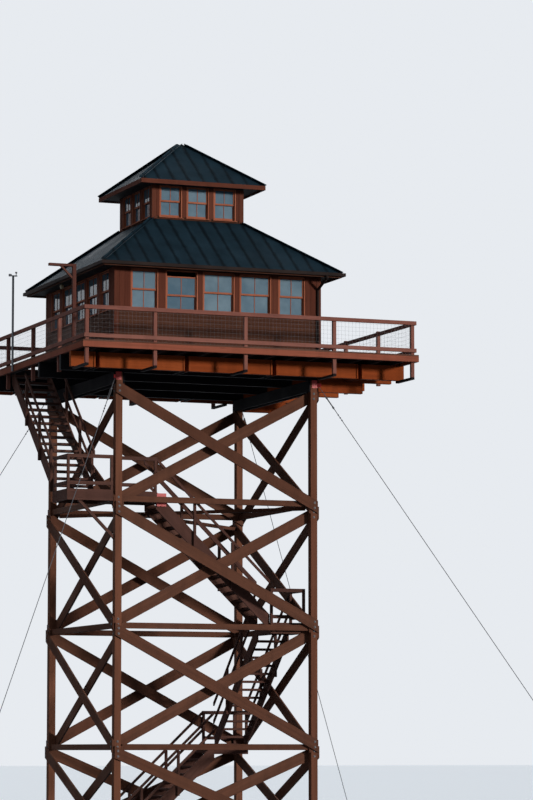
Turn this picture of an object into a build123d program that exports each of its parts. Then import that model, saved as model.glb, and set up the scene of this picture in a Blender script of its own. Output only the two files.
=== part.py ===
from build123d import *
from math import atan2, cos, degrees, hypot, sin, sqrt
import os

# Fire lookout tower of timber. Millimetres, +Z up. The origin is on the ground under the
# middle of the four legs, -Y is the front face and -X the side with the outside stair.

# Legs and levels
LEG_SPACING = 5486.0
LEG = 190.0
PIER_BASE = 620.0
PIER_TOP = 360.0
PIER_HEIGHT = 450.0
LANDING_TOPS = [9790.0, 6420.0, 3250.0]
DECK_TOP = 13460.0

# Planks that brace the legs
PLANK = 50.0
BRACE_DEPTH = 290.0
BRACE_BAY = 3158.0
BRACE_OFF_LEVEL = 121.0
BRACE_FOOT = 220.0
BRACE_SLANT = 1.25
GIRT_DEPTH = 155.0
GIRT_THICK = 89.0
GIRTS_BELOW_LANDINGS = [220.0, 140.0, 105.0]
TIE_SIZE = 90.0
LOW_TIE_DROP = 555.0

# Stairs
STAIR_CLEAR = 830.0
TOP_FLIGHT_CLEAR = 970.0
TOP_FLIGHT_OFF_PLANK = 131.0
STRINGER = 45.0
STRINGER_DEPTH = 290.0
STRINGER_ABOVE_NOSING = 40.0
TREAD_THICK = 62.0
TREAD_NOSING = 25.0
RISERS = [18, 16, 15, 16]
TOP_FLIGHT_GOING = 230.0
LANDING_DEPTH = 290.0
LANDING_BOARD = 38.0
LANDING_EDGE = 1600.0
STAIR_POST = 70.0
HANDRAIL_HEIGHT = 905.0
MIDRAIL_HEIGHT = 420.0
GUARD_LOW_RAIL = 205.0
HANDRAIL_WIDE = 45.0
HANDRAIL_DEEP = 95.0
POST_CLEARANCE = 8.0
POST_FOOT_ROOM = 5.0
KNEE_SIZE = 76.0
KNEE_REACH = 1010.0
BOX_WIDE = 260.0
BOX_TALL = 380.0

# Deck
DECK_LEFT = -4335.0
DECK_RIGHT = 5015.0
HEADER_REACH = 757.0
EDGE_REACH = 1125.0
DECK_BOARD = 38.0
JOIST_DEPTH = 152.0
JOIST_THICK = 45.0
JOIST_SPACING = 610.0
RIM_THICK = 45.0
BEAM_DEPTH = 400.0
BEAM_THICK = 140.0
GIRDER_DEPTH = 300.0
GIRDER_THICK = 50.0
STUB_THICK = 140.0
STUB_END = 4160.0
OUTRIGGER_PLANK = 45.0
OUTRIGGER_GAP = 105.0
OUTRIGGER_SPACING = 2450.0
OUTRIGGER_FIRST = -3620.0
OUTRIGGER_PROUD = 25.0
OUTRIGGER_COUNT = 4
WELL_LENGTH = 2150.0
WELL_MARGIN = 25.0

# Deck railing
RAIL_POST = 95.0
RAIL_TOP = 900.0
RAIL_THICK = 44.0
RAIL_DEEP = 105.0
LOWER_RAIL_TOP = 172.0
RAIL_TIE_DEEP = 60.0
CORNER_BAY = 1845.0
RAIL_BAY = 2495.0
SIDE_BAYS = 4

# Cab
CAB_HALF = 2896.0
WALL = 140.0
CAB_FLOOR = 30.0
SILL_HEIGHT = 1070.0
WINDOW_TOP = 2160.0
WINDOW_WIDE = 905.0
END_WINDOW_WIDE = 770.0
WINDOW_SPACING = 1040.0
WINDOW_COUNT = 5
SASH = 50.0
SASH_THICK = 40.0
GLASS = 6.0
DOOR_WIDE = 860.0
DOOR_TALL = 2050.0
DOOR_THICK = 45.0

# Main roof and cupola
EAVE_OVERHANG = 449.0
EAVE_ABOVE_DECK = 2265.0
MAIN_ROOF_RISE = 1515.0
ROOF_THICK = 60.0
FASCIA_THICK = 40.0
EAVE_FASCIA = 130.0
SOFFIT_THICK = 22.0
CUPOLA_HALF = 1294.0
CUPOLA_WALL = 110.0
CUPOLA_CORNER = 194.0
CUPOLA_MULLION = 125.0
CUPOLA_WINDOW_COUNT = 3
CUPOLA_WINDOW_TALL = 890.0
CUPOLA_SILL_HEIGHT = 50.0
CUPOLA_OVERHANG = 470.0
CUPOLA_EAVE_ABOVE_BASE = 1000.0
CUPOLA_EAVE_FASCIA = 120.0
CUPOLA_ROOF_RISE = 1335.0
GUTTER = 85.0
GUTTER_SHEET = 4.0
DOWNSPOUT_RADIUS = 38.0
DOWNSPOUT_DROP = 60.0
DOWNSPOUT_ELBOW = 330.0
DOWNSPOUT_FOOT = 90.0

# Hoist post, weather mast, lamps and guys
HOIST_Y = -3440.0
HOIST_TALL = 2085.0
HOIST_ARM = 640.0
HOIST_ARM_DEEP = 70.0
HOIST_KNEE = 330.0
MAST_Y = 1330.0
MAST_TALL = 2400.0
MAST_RADIUS = 30.0
MAST_HEAD = 230.0
GUY_REACH = 8900.0
GUY_RADIUS = 11.0
GUY_BELOW_DECK = 680.0
TURNBUCKLE_RADIUS = 32.0
TURNBUCKLE_LENGTH = 620.0
TURNBUCKLE_AT = 330.0
ANCHOR_RADIUS = 170.0
ANCHOR_HEIGHT = 240.0
LAMP_RADIUS = 58.0
LAMP_TALL = 110.0
LAMP_STEM = 45.0
LAMP_Y = 670.0
BRACKET_PLATE = 12.0
BRACKET_WIDE = 150.0
BRACKET_TALL = 220.0
BRACKET_LUG = 120.0
SEAT_GAP = 0.3
JOINT = 0.5

HALF = LEG_SPACING / 2
LEG_OUT = HALF + LEG / 2
LEG_IN = HALF - LEG / 2
INSIDE_PLANK = LEG_IN - PLANK
OUTSIDE_PLANK = LEG_OUT + PLANK
GIRT_CENTRES = [top - below for top, below in zip(LANDING_TOPS, GIRTS_BELOW_LANDINGS)]
JOIST_BOTTOM = DECK_TOP - DECK_BOARD - JOIST_DEPTH
BEAM_BOTTOM = JOIST_BOTTOM - BEAM_DEPTH
GIRDER_BOTTOM = BEAM_BOTTOM - GIRDER_DEPTH
HEADER_Y = HALF + HEADER_REACH
DECK_HALF_DEPTH = HEADER_Y + EDGE_REACH
RIM_DOUBLE = 2 * RIM_THICK
POST_IN = RIM_DOUBLE + JOINT + RAIL_POST
STRINGER_OUT = INSIDE_PLANK - POST_CLEARANCE - STAIR_POST
STAIR_WIDE = STAIR_CLEAR + 2 * STRINGER
OUTSIDE_FLIGHT = OUTSIDE_PLANK + TOP_FLIGHT_OFF_PLANK
TOP_FLIGHT_WIDE = TOP_FLIGHT_CLEAR + 2 * STRINGER
WELL_FRONT = -LANDING_EDGE + (RISERS[0] - 1) * TOP_FLIGHT_GOING - WELL_LENGTH
WELL_BACK = WELL_FRONT + WELL_LENGTH
WELL_LEFT = -(OUTSIDE_FLIGHT + TOP_FLIGHT_WIDE + WELL_MARGIN)
WELL_RIGHT = -(OUTSIDE_FLIGHT - WELL_MARGIN)
LANDING_LEFT = -(OUTSIDE_FLIGHT + TOP_FLIGHT_WIDE + STAIR_POST)
EAVE_HALF = CAB_HALF + EAVE_OVERHANG
EAVE_Z = DECK_TOP + EAVE_ABOVE_DECK
CUPOLA_BASE_Z = EAVE_Z + MAIN_ROOF_RISE
CUPOLA_EAVE_HALF = CUPOLA_HALF + CUPOLA_OVERHANG
CUPOLA_EAVE_Z = CUPOLA_BASE_Z + CUPOLA_EAVE_ABOVE_BASE
CUPOLA_WINDOW_ROW = 2 * (CUPOLA_HALF - CUPOLA_CORNER)
CUPOLA_WINDOW_SPACING = (CUPOLA_WINDOW_ROW + CUPOLA_MULLION) / CUPOLA_WINDOW_COUNT
CUPOLA_WINDOW_WIDE = CUPOLA_WINDOW_SPACING - CUPOLA_MULLION
CUPOLA_SILL = CUPOLA_BASE_Z + CUPOLA_SILL_HEIGHT
CUPOLA_WINDOW_TOP = CUPOLA_SILL + CUPOLA_WINDOW_TALL
APEX_Z = CUPOLA_EAVE_Z + CUPOLA_ROOF_RISE
HOIST_TOP_Z = DECK_TOP + HOIST_TALL
MAST_TOP_Z = DECK_TOP + MAST_TALL
GUY_TOP_Z = DECK_TOP - GUY_BELOW_DECK
ROOF_SLOPE = (CUPOLA_BASE_Z - EAVE_Z) / (EAVE_HALF - CUPOLA_HALF)
CUPOLA_SLOPE = (APEX_Z - CUPOLA_EAVE_Z) / CUPOLA_EAVE_HALF
WALL_TOP = EAVE_Z - ROOF_THICK + ROOF_SLOPE * (EAVE_HALF - CAB_HALF) - SEAT_GAP
CUPOLA_TOP_Z = CUPOLA_EAVE_Z - ROOF_THICK + CUPOLA_SLOPE * (CUPOLA_EAVE_HALF - CUPOLA_HALF) - SEAT_GAP
SOFFIT_Z = EAVE_Z - ROOF_THICK - SOFFIT_THICK
CUPOLA_SOFFIT_Z = CUPOLA_EAVE_Z - ROOF_THICK - SOFFIT_THICK


def block(x0, x1, y0, y1, z0, z1):
    """A straight block between two corners."""
    return Pos((x0 + x1) / 2, (y0 + y1) / 2, (z0 + z1) / 2) * Box(x1 - x0, y1 - y0, z1 - z0)


def turned(shape, quarter):
    """The same piece on the next faces of the square tower, by quarter turns."""
    return Rot(0, 0, 90 * quarter) * shape


def plate_xz(points, y0, y1):
    """An outline in X and Z, given as points, made as thick as from y0 to y1."""
    face = make_face(Polyline(*[(x, 0, z) for x, z in points], close=True))
    solid = extrude(face, amount=y1 - y0, dir=(0, 1, 0))
    return Pos(0, y0, 0) * solid


def rod(start, end, radius):
    """A round bar from one point to another."""
    line = Vector(*end) - Vector(*start)
    plane = Plane(origin=start, z_dir=line)
    return extrude(plane * Circle(radius), amount=line.length)


def save(name, shapes):
    """One STEP file for one node, from its solids."""
    shapes = shapes if isinstance(shapes, list) else [shapes]
    solids = [solid for shape in shapes for solid in shape.solids()]
    node = Compound(label=name, children=solids) if len(solids) > 1 else solids[0]
    export_step(node, f"parts/{name}.step")


def joined_ring(half_out, half_in, z0, z1):
    """Four straight pieces round a square: front and back run through, the sides butt between them."""
    pieces = []
    for quarter in range(4):
        end = half_out if quarter % 2 == 0 else half_in - JOINT
        pieces.append(turned(block(-end, end, -half_out, -half_in, z0, z1), quarter))
    return pieces


def hip_slab(profile, quarter):
    """One roof slope from its outline in distance from the middle and height, mitred at both hips."""
    reach = profile[0][0]
    face = make_face(Polyline(*[(0, -d, z) for d, z in profile], close=True))
    slab = Pos(-reach, 0, 0) * extrude(face, amount=2 * reach, dir=(1, 0, 0))
    room = JOINT / sqrt(2)
    plan = [(0, -room), (reach, -reach - room), (-reach, -reach - room)]
    wedge = extrude(make_face(Polyline(*plan, close=True)), amount=APEX_Z)
    return turned(slab & wedge, quarter)


# Piers and legs
def make_piers():
    piers = []
    for sx in (-1, 1):
        for sy in (-1, 1):
            foot = Plane.XY * Pos(sx * HALF, sy * HALF) * Rectangle(PIER_BASE, PIER_BASE)
            top = Plane.XY.offset(PIER_HEIGHT) * Pos(sx * HALF, sy * HALF) * Rectangle(PIER_TOP, PIER_TOP)
            piers.append(loft([foot, top], ruled=True))
    return piers


def make_legs():
    legs = []
    for sx in (-1, 1):
        for sy in (-1, 1):
            x, y = sx * HALF, sy * HALF
            legs.append(block(x - LEG / 2, x + LEG / 2, y - LEG / 2, y + LEG / 2, PIER_HEIGHT, BEAM_BOTTOM))
    return legs


# Cross braces: on each face one plank of each bay lies outside the legs and one inside
def brace_bays():
    """Heights of the planks' upper and lower ends, at the middles of the legs."""
    levels = [GIRDER_BOTTOM - BRACE_BAY * i for i in range(len(LANDING_TOPS) + 1)]
    tops = [level - BRACE_OFF_LEVEL for level in levels]
    feet = [level + BRACE_OFF_LEVEL for level in levels[1:]] + [PIER_HEIGHT + BRACE_FOOT]
    return list(zip(tops, feet))


def brace(z_left, z_right, y0, y1, depth=BRACE_DEPTH):
    """A plank across the front face, cut plumb at the outer edges of the legs."""
    slope = (z_right - z_left) / LEG_SPACING
    half_rise = depth / 2 * sqrt(1 + slope * slope)
    mid = (z_left + z_right) / 2
    left, right = mid - slope * LEG_OUT, mid + slope * LEG_OUT
    points = [(-LEG_OUT, left - half_rise), (LEG_OUT, right - half_rise),
              (LEG_OUT, right + half_rise), (-LEG_OUT, left + half_rise)]
    return plate_xz(points, y0, y1)


def make_face_braces(quarter):
    planks = []
    for top, foot in brace_bays():
        planks.append(brace(top, foot, -OUTSIDE_PLANK, -LEG_OUT))
        planks.append(brace(foot, top, -LEG_IN, -INSIDE_PLANK))
    if quarter % 2:
        under = block(-OUTSIDE_PLANK, OUTSIDE_PLANK, -OUTSIDE_PLANK, 0, 0, GIRDER_BOTTOM - JOINT)
        planks = [plank & under for plank in planks]
    return [turned(plank, quarter) for plank in planks]


def girt_reach(z, ends):
    """How far a girt reaches from the middle: to the leg, or to the next face's plank where they meet."""
    meets = [end for end in ends if abs(z - end) < (GIRT_DEPTH + BRACE_DEPTH * BRACE_SLANT) / 2]
    return INSIDE_PLANK - JOINT if meets else LEG_IN


def make_girts():
    """Level girts between the legs."""
    bays = brace_bays()
    girts = []
    for z in GIRT_CENTRES:
        left = girt_reach(z, [top for top, foot in bays])
        right = girt_reach(z, [foot for top, foot in bays])
        for quarter in range(4):
            girts.append(turned(block(-left, right, -HALF - GIRT_THICK / 2, -HALF + GIRT_THICK / 2,
                                      z - GIRT_DEPTH / 2, z + GIRT_DEPTH / 2), quarter))
    return girts


def make_plan_braces():
    """Two diagonals between opposite legs, one right under the top landing and one lower down."""
    under_landing = LANDING_TOPS[0] - LANDING_DEPTH - JOINT - TIE_SIZE / 2
    room = Box(2 * INSIDE_PLANK - 2 * JOINT, 2 * INSIDE_PLANK - 2 * JOINT, TIE_SIZE)
    ties = []
    for angle, z in ((135, under_landing), (45, LANDING_TOPS[0] - LOW_TIE_DROP)):
        tie = Rot(0, 0, angle) * Box(2 * LEG_IN * sqrt(2), TIE_SIZE, TIE_SIZE)
        ties.append(Pos(0, 0, z) * (tie & room))
    return ties


# Stairs. Each flight is made as if it ran down along +X, with its outer side at y = 0
def flight_sizes(index):
    tops = [DECK_TOP] + LANDING_TOPS
    z_top = tops[index]
    z_foot = LANDING_TOPS[index] if index < len(LANDING_TOPS) else 0.0
    riser = (z_top - z_foot) / RISERS[index]
    going = TOP_FLIGHT_GOING if index == 0 else 2 * LANDING_EDGE / (RISERS[index] - 1)
    return z_top, z_foot, riser, going, RISERS[index] - 1


def flight_clear(index):
    """Clear width between the stringers; the top flight, outside the legs, is wider."""
    return TOP_FLIGHT_CLEAR if index == 0 else STAIR_CLEAR


def flight_treads(index):
    z_top, z_foot, riser, going, count = flight_sizes(index)
    treads = []
    for step in range(1, count + 1):
        z = z_top - step * riser
        x0 = (step - 1) * going
        x1 = min(step * going + TREAD_NOSING, count * going)
        treads.append(block(x0, x1, STRINGER, STRINGER + flight_clear(index), z - TREAD_THICK, z))
    return treads


def flight_line(index):
    """Height of the nosings over the run, and the slope of the flight."""
    z_top, z_foot, riser, going, count = flight_sizes(index)
    slope = -riser / going
    return z_top, slope, count * going, z_foot


def flight_stringers(index):
    z_top, slope, run, z_foot = flight_line(index)
    rise = STRINGER_DEPTH * sqrt(1 + slope * slope)
    upper = [(0, z_top - LANDING_BOARD), (STRINGER_ABOVE_NOSING, z_top - LANDING_BOARD)]
    upper_end = z_top + slope * (run - STRINGER_ABOVE_NOSING) - LANDING_BOARD
    lower_end = upper_end - rise
    if index == len(RISERS) - 1:
        cut = (z_top - LANDING_BOARD - rise) / -slope + STRINGER_ABOVE_NOSING
        points = upper + [(run, upper_end), (run, 0), (cut, 0), (0, z_top - LANDING_BOARD - rise)]
    else:
        points = upper + [(run, upper_end), (run, lower_end), (0, z_top - LANDING_BOARD - rise)]
    outer = plate_xz(points, 0, STRINGER)
    inner_side = STRINGER + flight_clear(index)
    inner = plate_xz(points, inner_side, inner_side + STRINGER)
    return [outer, inner]


def rail_bar(x0, x1, index, height, y0, deep):
    """A rail that runs with the slope of the flight, its top at a height over the nosings."""
    z_top, slope, run, z_foot = flight_line(index)
    points = [(x0, z_top + slope * x0 + height), (x1, z_top + slope * x1 + height),
              (x1, z_top + slope * x1 + height - deep), (x0, z_top + slope * x0 + height - deep)]
    return plate_xz(points, y0, y0 + HANDRAIL_WIDE)


def flight_rails(index):
    z_top, slope, run, z_foot = flight_line(index)
    rise = STRINGER_DEPTH * sqrt(1 + slope * slope)
    wide = flight_clear(index) + 2 * STRINGER
    sides = []
    end = run - POST_FOOT_ROOM
    if index == 0:
        start = (DECK_TOP - JOIST_BOTTOM + HANDRAIL_HEIGHT + STAIR_POST) / -slope
        stations = [start + 2 * STAIR_POST, (start + run) / 2, run - 4 * STAIR_POST]
    else:
        start = POST_FOOT_ROOM
        stations = [run / 3 - STAIR_POST / 2, run * 2 / 3 - STAIR_POST / 2]
    if index == len(RISERS) - 1:
        stations.append(run - 2 * STAIR_POST)
    for y_post, y_rail in ((-STAIR_POST, -HANDRAIL_WIDE), (wide, wide)):
        side = None
        for x in stations:
            head = z_top + slope * (x + STAIR_POST) + HANDRAIL_HEIGHT - HANDRAIL_DEEP / 2
            foot = max(z_top + slope * x - LANDING_BOARD - rise, z_foot + POST_FOOT_ROOM)
            post = block(x, x + STAIR_POST, y_post, y_post + STAIR_POST, foot, head)
            side = post if side is None else side + post
        for height, deep in ((HANDRAIL_HEIGHT, HANDRAIL_DEEP), (MIDRAIL_HEIGHT, HANDRAIL_DEEP)):
            side = side + rail_bar(start, end, index, height, y_rail, deep)
        sides.append(side)
    return sides


def place_flight(shape, index):
    """Moves a flight made along +X to its side of the tower."""
    if index == 0:
        top_y = WELL_BACK
        return Pos(-(OUTSIDE_FLIGHT + TOP_FLIGHT_WIDE), top_y, 0) * Rot(0, 0, -90) * shape
    along_front = Pos(-LANDING_EDGE, -STRINGER_OUT, 0) * shape
    return turned(along_front, index - 1)


def make_treads(index):
    return [place_flight(tread, index) for tread in flight_treads(index)]


def make_stringers():
    return [place_flight(s, index) for index in range(len(RISERS)) for s in flight_stringers(index)]


def make_stair_rails(index):
    return [place_flight(side, index) for side in flight_rails(index)]


# Landings
def landing_frame(x0, x1, y0, y1, z_top):
    """Boards on an edge frame with two joists."""
    frame = block(x0, x1, y0, y1, z_top - LANDING_DEPTH, z_top)
    inner = block(x0 + STRINGER, x1 - STRINGER, y0 + STRINGER, y1 - STRINGER,
                  z_top - LANDING_DEPTH, z_top - LANDING_BOARD)
    frame = frame - inner
    for share in (1 / 3, 2 / 3):
        x = x0 + share * (x1 - x0)
        frame = frame + block(x - STRINGER / 2, x + STRINGER / 2, y0 + STRINGER, y1 - STRINGER,
                              z_top - LANDING_DEPTH / 2, z_top - LANDING_BOARD)
    return frame


def make_landing(index):
    z = LANDING_TOPS[index]
    if index > 0:
        frame = landing_frame(LANDING_EDGE, INSIDE_PLANK, -INSIDE_PLANK, -LANDING_EDGE, z)
        return turned(frame, index - 1)
    gap = POST_CLEARANCE
    frame = landing_frame(-OUTSIDE_PLANK - gap, -LANDING_EDGE, -INSIDE_PLANK, -LANDING_EDGE, z)
    frame = frame + landing_frame(LANDING_LEFT, -OUTSIDE_PLANK - gap, -LEG_OUT, -LANDING_EDGE, z)
    top, foot = brace_bays()[0]
    plank = brace(top, foot, -OUTSIDE_PLANK - gap, -LEG_OUT + gap, BRACE_DEPTH + 2 * gap)
    frame = frame - turned(plank, 3)
    girt = GIRT_CENTRES[0]
    frame = frame - block(-HALF - GIRT_THICK / 2 - gap, -HALF + GIRT_THICK / 2 + gap, -HALF, 0,
                          z - LANDING_DEPTH - gap, girt + GIRT_DEPTH / 2 + gap)
    return frame.solids().sort_by(SortBy.VOLUME)[-1]


def guard(a0, a1, side, z_top, posts, along_y=False):
    """A level guard with a top rail and a low rail, on posts that stand on the boards."""
    def bar(start, end, wide, z0, z1):
        if along_y:
            return block(side, side + wide, start, end, z0, z1)
        return block(start, end, side, side + wide, z0, z1)

    head = z_top + HANDRAIL_HEIGHT
    middle = z_top + GUARD_LOW_RAIL
    bars = bar(a0, a1, HANDRAIL_WIDE, head - HANDRAIL_DEEP, head)
    bars = bars + bar(a0, a1, HANDRAIL_WIDE, middle - HANDRAIL_DEEP, middle)
    for a in posts:
        bars = bars + bar(a, a + STAIR_POST, STAIR_POST, z_top, head)
    return bars


def make_landing_rails():
    z = LANDING_TOPS[0]
    inner = -INSIDE_PLANK + POST_CLEARANCE
    corner = -OUTSIDE_PLANK - POST_CLEARANCE
    outside = guard(LANDING_LEFT, corner, -LEG_OUT, z, [LANDING_LEFT, corner - STAIR_POST])
    side = guard(-LEG_OUT + STAIR_POST + JOINT, -LANDING_EDGE - STAIR_POST, LANDING_LEFT, z,
                 [-LANDING_EDGE - 2 * STAIR_POST], along_y=True)
    rails = [outside, side, guard(-LEG_IN + STAIR_POST, -LANDING_EDGE, inner, z, [-LANDING_EDGE - STAIR_POST])]
    for index in (1, 2):
        end = INSIDE_PLANK - POST_CLEARANCE
        front = guard(LANDING_EDGE, end, inner, LANDING_TOPS[index], [LANDING_EDGE, end - STAIR_POST])
        side = guard(inner + STAIR_POST + JOINT, -LANDING_EDGE, end - STAIR_POST, LANDING_TOPS[index],
                     [-LANDING_EDGE - STAIR_POST], along_y=True)
        rails += [turned(front, index - 1), turned(side, index - 1)]
    return rails


def make_landing_knee():
    """The strut under the outer corner of the top landing, down to the front left leg."""
    z = LANDING_TOPS[0] - LANDING_DEPTH
    x0 = -LEG_OUT - KNEE_REACH
    drop = KNEE_REACH
    cut = KNEE_SIZE * sqrt(2)
    points = [(x0, z), (x0 + cut, z), (-LEG_OUT, z - drop + cut), (-LEG_OUT, z - drop)]
    return plate_xz(points, -HALF - KNEE_SIZE / 2, -HALF + KNEE_SIZE / 2)


def make_landing_box():
    """The small red box on the outer stringer where the second flight leaves the top landing."""
    z = LANDING_TOPS[0]
    box = block(-LANDING_EDGE, -LANDING_EDGE + BOX_WIDE, -STRINGER_OUT - STAIR_POST, -STRINGER_OUT,
                z - BOX_TALL, z - LANDING_BOARD)
    return box


# Deck framing
def make_girders():
    """Doubled girders along Y on both sides of the legs, and stubs that carry the right overhang."""
    girders = []
    for sx in (-1, 1):
        for x in (LEG_IN - GIRDER_THICK, LEG_OUT):
            x0, x1 = (x, x + GIRDER_THICK) if sx > 0 else (-x - GIRDER_THICK, -x)
            girders.append(block(x0, x1, -LEG_OUT, LEG_OUT, GIRDER_BOTTOM, BEAM_BOTTOM))
    for sy in (-1, 1):
        y0, y1 = sorted((sy * (LEG_OUT - STUB_THICK), sy * LEG_OUT))
        girders.append(block(LEG_OUT + GIRDER_THICK, STUB_END, y0, y1, GIRDER_BOTTOM, BEAM_BOTTOM))
    return girders


def header_gaps():
    pair = 2 * OUTRIGGER_PLANK + OUTRIGGER_GAP
    middles = [OUTRIGGER_FIRST + i * OUTRIGGER_SPACING for i in range(OUTRIGGER_COUNT)]
    return [(x - pair / 2, x + pair / 2) for x in middles]


def make_beams():
    """Beams along X over the legs, and the header near each edge, in lengths between the outriggers."""
    beams = []
    for y in (-HALF, -HALF / 3, HALF / 3, HALF):
        x0 = DECK_LEFT
        if WELL_FRONT < y + BEAM_THICK / 2 and y - BEAM_THICK / 2 < WELL_BACK:
            x0 = WELL_RIGHT + JOIST_THICK
        beams.append(block(x0, DECK_RIGHT, y - BEAM_THICK / 2, y + BEAM_THICK / 2, BEAM_BOTTOM, JOIST_BOTTOM))
    edges = [DECK_LEFT] + [e for gap in header_gaps() for e in gap] + [DECK_RIGHT]
    for sy in (-1, 1):
        for x0, x1 in zip(edges[0::2], edges[1::2]):
            y0, y1 = sorted((sy * HEADER_Y, sy * (HEADER_Y + BEAM_THICK)))
            beams.append(block(x0, x1, y0, y1, BEAM_BOTTOM, JOIST_BOTTOM))
    return beams


def make_outriggers():
    planks = []
    for sy in (-1, 1):
        y0, y1 = sorted((sy * (HALF + BEAM_THICK / 2), sy * (HEADER_Y + BEAM_THICK + OUTRIGGER_PROUD)))
        for x0, x1 in header_gaps():
            planks.append(block(x0, x0 + OUTRIGGER_PLANK, y0, y1, BEAM_BOTTOM, JOIST_BOTTOM))
            planks.append(block(x1 - OUTRIGGER_PLANK, x1, y0, y1, BEAM_BOTTOM, JOIST_BOTTOM))
    return planks


def make_joists():
    """Joists along Y between the rims, cut back round the stairwell."""
    inside = DECK_HALF_DEPTH - RIM_DOUBLE - JOINT
    z0, z1 = JOIST_BOTTOM, DECK_TOP - DECK_BOARD
    x = DECK_LEFT + RIM_DOUBLE + JOIST_SPACING / 2
    joists = []
    while x + JOIST_THICK <= DECK_RIGHT - POST_IN:
        if x + JOIST_THICK > WELL_LEFT - JOIST_THICK and x < WELL_RIGHT + JOIST_THICK:
            joists.append(block(x, x + JOIST_THICK, -inside, WELL_FRONT - JOIST_THICK, z0, z1))
            joists.append(block(x, x + JOIST_THICK, WELL_BACK + JOIST_THICK, inside, z0, z1))
        else:
            joists.append(block(x, x + JOIST_THICK, -inside, inside, z0, z1))
        x += JOIST_SPACING
    return joists


def make_well_trimmers():
    """The frame of joists round the stairwell: trimmers along it, headers between them."""
    z0, z1 = JOIST_BOTTOM, DECK_TOP - DECK_BOARD
    frame = [block(x, x + JOIST_THICK, WELL_FRONT - JOIST_THICK, WELL_BACK + JOIST_THICK, z0, z1)
             for x in (WELL_LEFT - JOIST_THICK, WELL_RIGHT)]
    for y in (WELL_FRONT - JOIST_THICK, WELL_BACK):
        frame.append(block(WELL_LEFT + JOINT, WELL_RIGHT - JOINT, y, y + JOIST_THICK, z0, z1))
    return frame


def edge_boards(inset, thick, z0, z1):
    """Boards round the deck, set in from its edge: front and back run through, the sides butt between."""
    x0, x1, y1 = DECK_LEFT + inset, DECK_RIGHT - inset, DECK_HALF_DEPTH - inset
    inside = y1 - thick - JOINT
    front = block(x0, x1, -y1, -y1 + thick, z0, z1)
    back = block(x0, x1, y1 - thick, y1, z0, z1)
    left = block(x0, x0 + thick, -inside, inside, z0, z1)
    right = block(x1 - thick, x1, -inside, inside, z0, z1)
    return {"front": front, "back": back, "left": left, "right": right}


def make_rim():
    """Doubled rim boards; the railing's posts stand inside them."""
    z0, z1 = JOIST_BOTTOM, DECK_TOP - DECK_BOARD
    outer = edge_boards(0.0, RIM_THICK, z0, z1)
    inner = edge_boards(RIM_THICK + JOINT, RIM_THICK - JOINT, z0, z1)
    return list(outer.values()) + list(inner.values())


def front_stations():
    """Middles of the front and back posts, from the left corner to the right one."""
    low, high = DECK_LEFT + POST_IN - RAIL_POST / 2, DECK_RIGHT - POST_IN + RAIL_POST / 2
    return [low] + [low + CORNER_BAY + RAIL_BAY * i for i in range(3)] + [high]


def side_stations():
    """Middles of the side posts, between the corner posts."""
    reach = DECK_HALF_DEPTH - POST_IN + RAIL_POST / 2
    return [-reach + 2 * reach / SIDE_BAYS * i for i in range(1, SIDE_BAYS)]


def make_deck_floor():
    """The floor: a field in four parts round the stairwell, and strips between the railing's posts."""
    z0, z1 = DECK_TOP - DECK_BOARD, DECK_TOP
    left, right = DECK_LEFT + POST_IN + JOINT, DECK_RIGHT - POST_IN - JOINT
    reach = DECK_HALF_DEPTH - POST_IN - JOINT
    parts = [block(left, right, -reach, WELL_FRONT, z0, z1), block(left, right, WELL_BACK, reach, z0, z1),
             block(left, WELL_LEFT, WELL_FRONT, WELL_BACK, z0, z1),
             block(WELL_RIGHT, right, WELL_FRONT, WELL_BACK, z0, z1)]
    half = RAIL_POST / 2 + JOINT
    ends = [DECK_LEFT] + [x + side for x in front_stations() for side in (-half, half)] + [DECK_RIGHT]
    for x0, x1 in zip(ends[0::2], ends[1::2]):
        parts += [block(x0, x1, *sorted((sy * reach, sy * DECK_HALF_DEPTH)), z0, z1) for sy in (-1, 1)]
    for x0, x1, posts in ((DECK_LEFT, left, [HOIST_Y] + side_stations()), (right, DECK_RIGHT, side_stations())):
        ends = [-reach] + [y + side for y in posts for side in (-half, half)] + [reach]
        parts += [block(x0, x1, y0, y1, z0, z1) for y0, y1 in zip(ends[0::2], ends[1::2])]
    return parts


# Deck railing: rails on edge on the outer faces of posts that stand inside the rim
def rail_post(x, y, top):
    half = RAIL_POST / 2
    return block(x - half, x + half, y - half, y + half, BEAM_BOTTOM + JOINT, top)


def make_railing(side):
    """The two rails of one side, and its posts; the corner posts go with front and back."""
    top = DECK_TOP + RAIL_TOP
    members = []
    for rail_top in (top, DECK_TOP + LOWER_RAIL_TOP):
        rails = edge_boards(RIM_THICK + JOINT, RAIL_THICK, rail_top - RAIL_DEEP, rail_top)
        members.append(rails[side])
    post_x = {"left": DECK_LEFT + POST_IN - RAIL_POST / 2, "right": DECK_RIGHT - POST_IN + RAIL_POST / 2}
    post_y = DECK_HALF_DEPTH - POST_IN + RAIL_POST / 2
    if side in post_x:
        members += [rail_post(post_x[side], y, top) for y in side_stations()]
    else:
        members += [rail_post(x, -post_y if side == "front" else post_y, top) for x in front_stations()]
    return members


def make_rail_ties():
    """Level ties under the feet of the front and back posts, in under the header."""
    ties = []
    for sy in (-1, 1):
        for x in front_stations():
            y0, y1 = sorted((sy * HEADER_Y, sy * (DECK_HALF_DEPTH - RIM_DOUBLE)))
            ties.append(block(x - RAIL_POST / 2, x + RAIL_POST / 2, y0, y1,
                              BEAM_BOTTOM - RAIL_TIE_DEEP, BEAM_BOTTOM))
    return ties


# Cab
def window_places(count, spacing):
    return [(i - (count - 1) / 2) * spacing for i in range(count)]


def cab_windows():
    """Middle and width of each window of a wall; those at the ends are narrower."""
    places = window_places(WINDOW_COUNT, WINDOW_SPACING)
    widths = [END_WINDOW_WIDE] + [WINDOW_WIDE] * (WINDOW_COUNT - 2) + [END_WINDOW_WIDE]
    return list(zip(places, widths))


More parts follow.
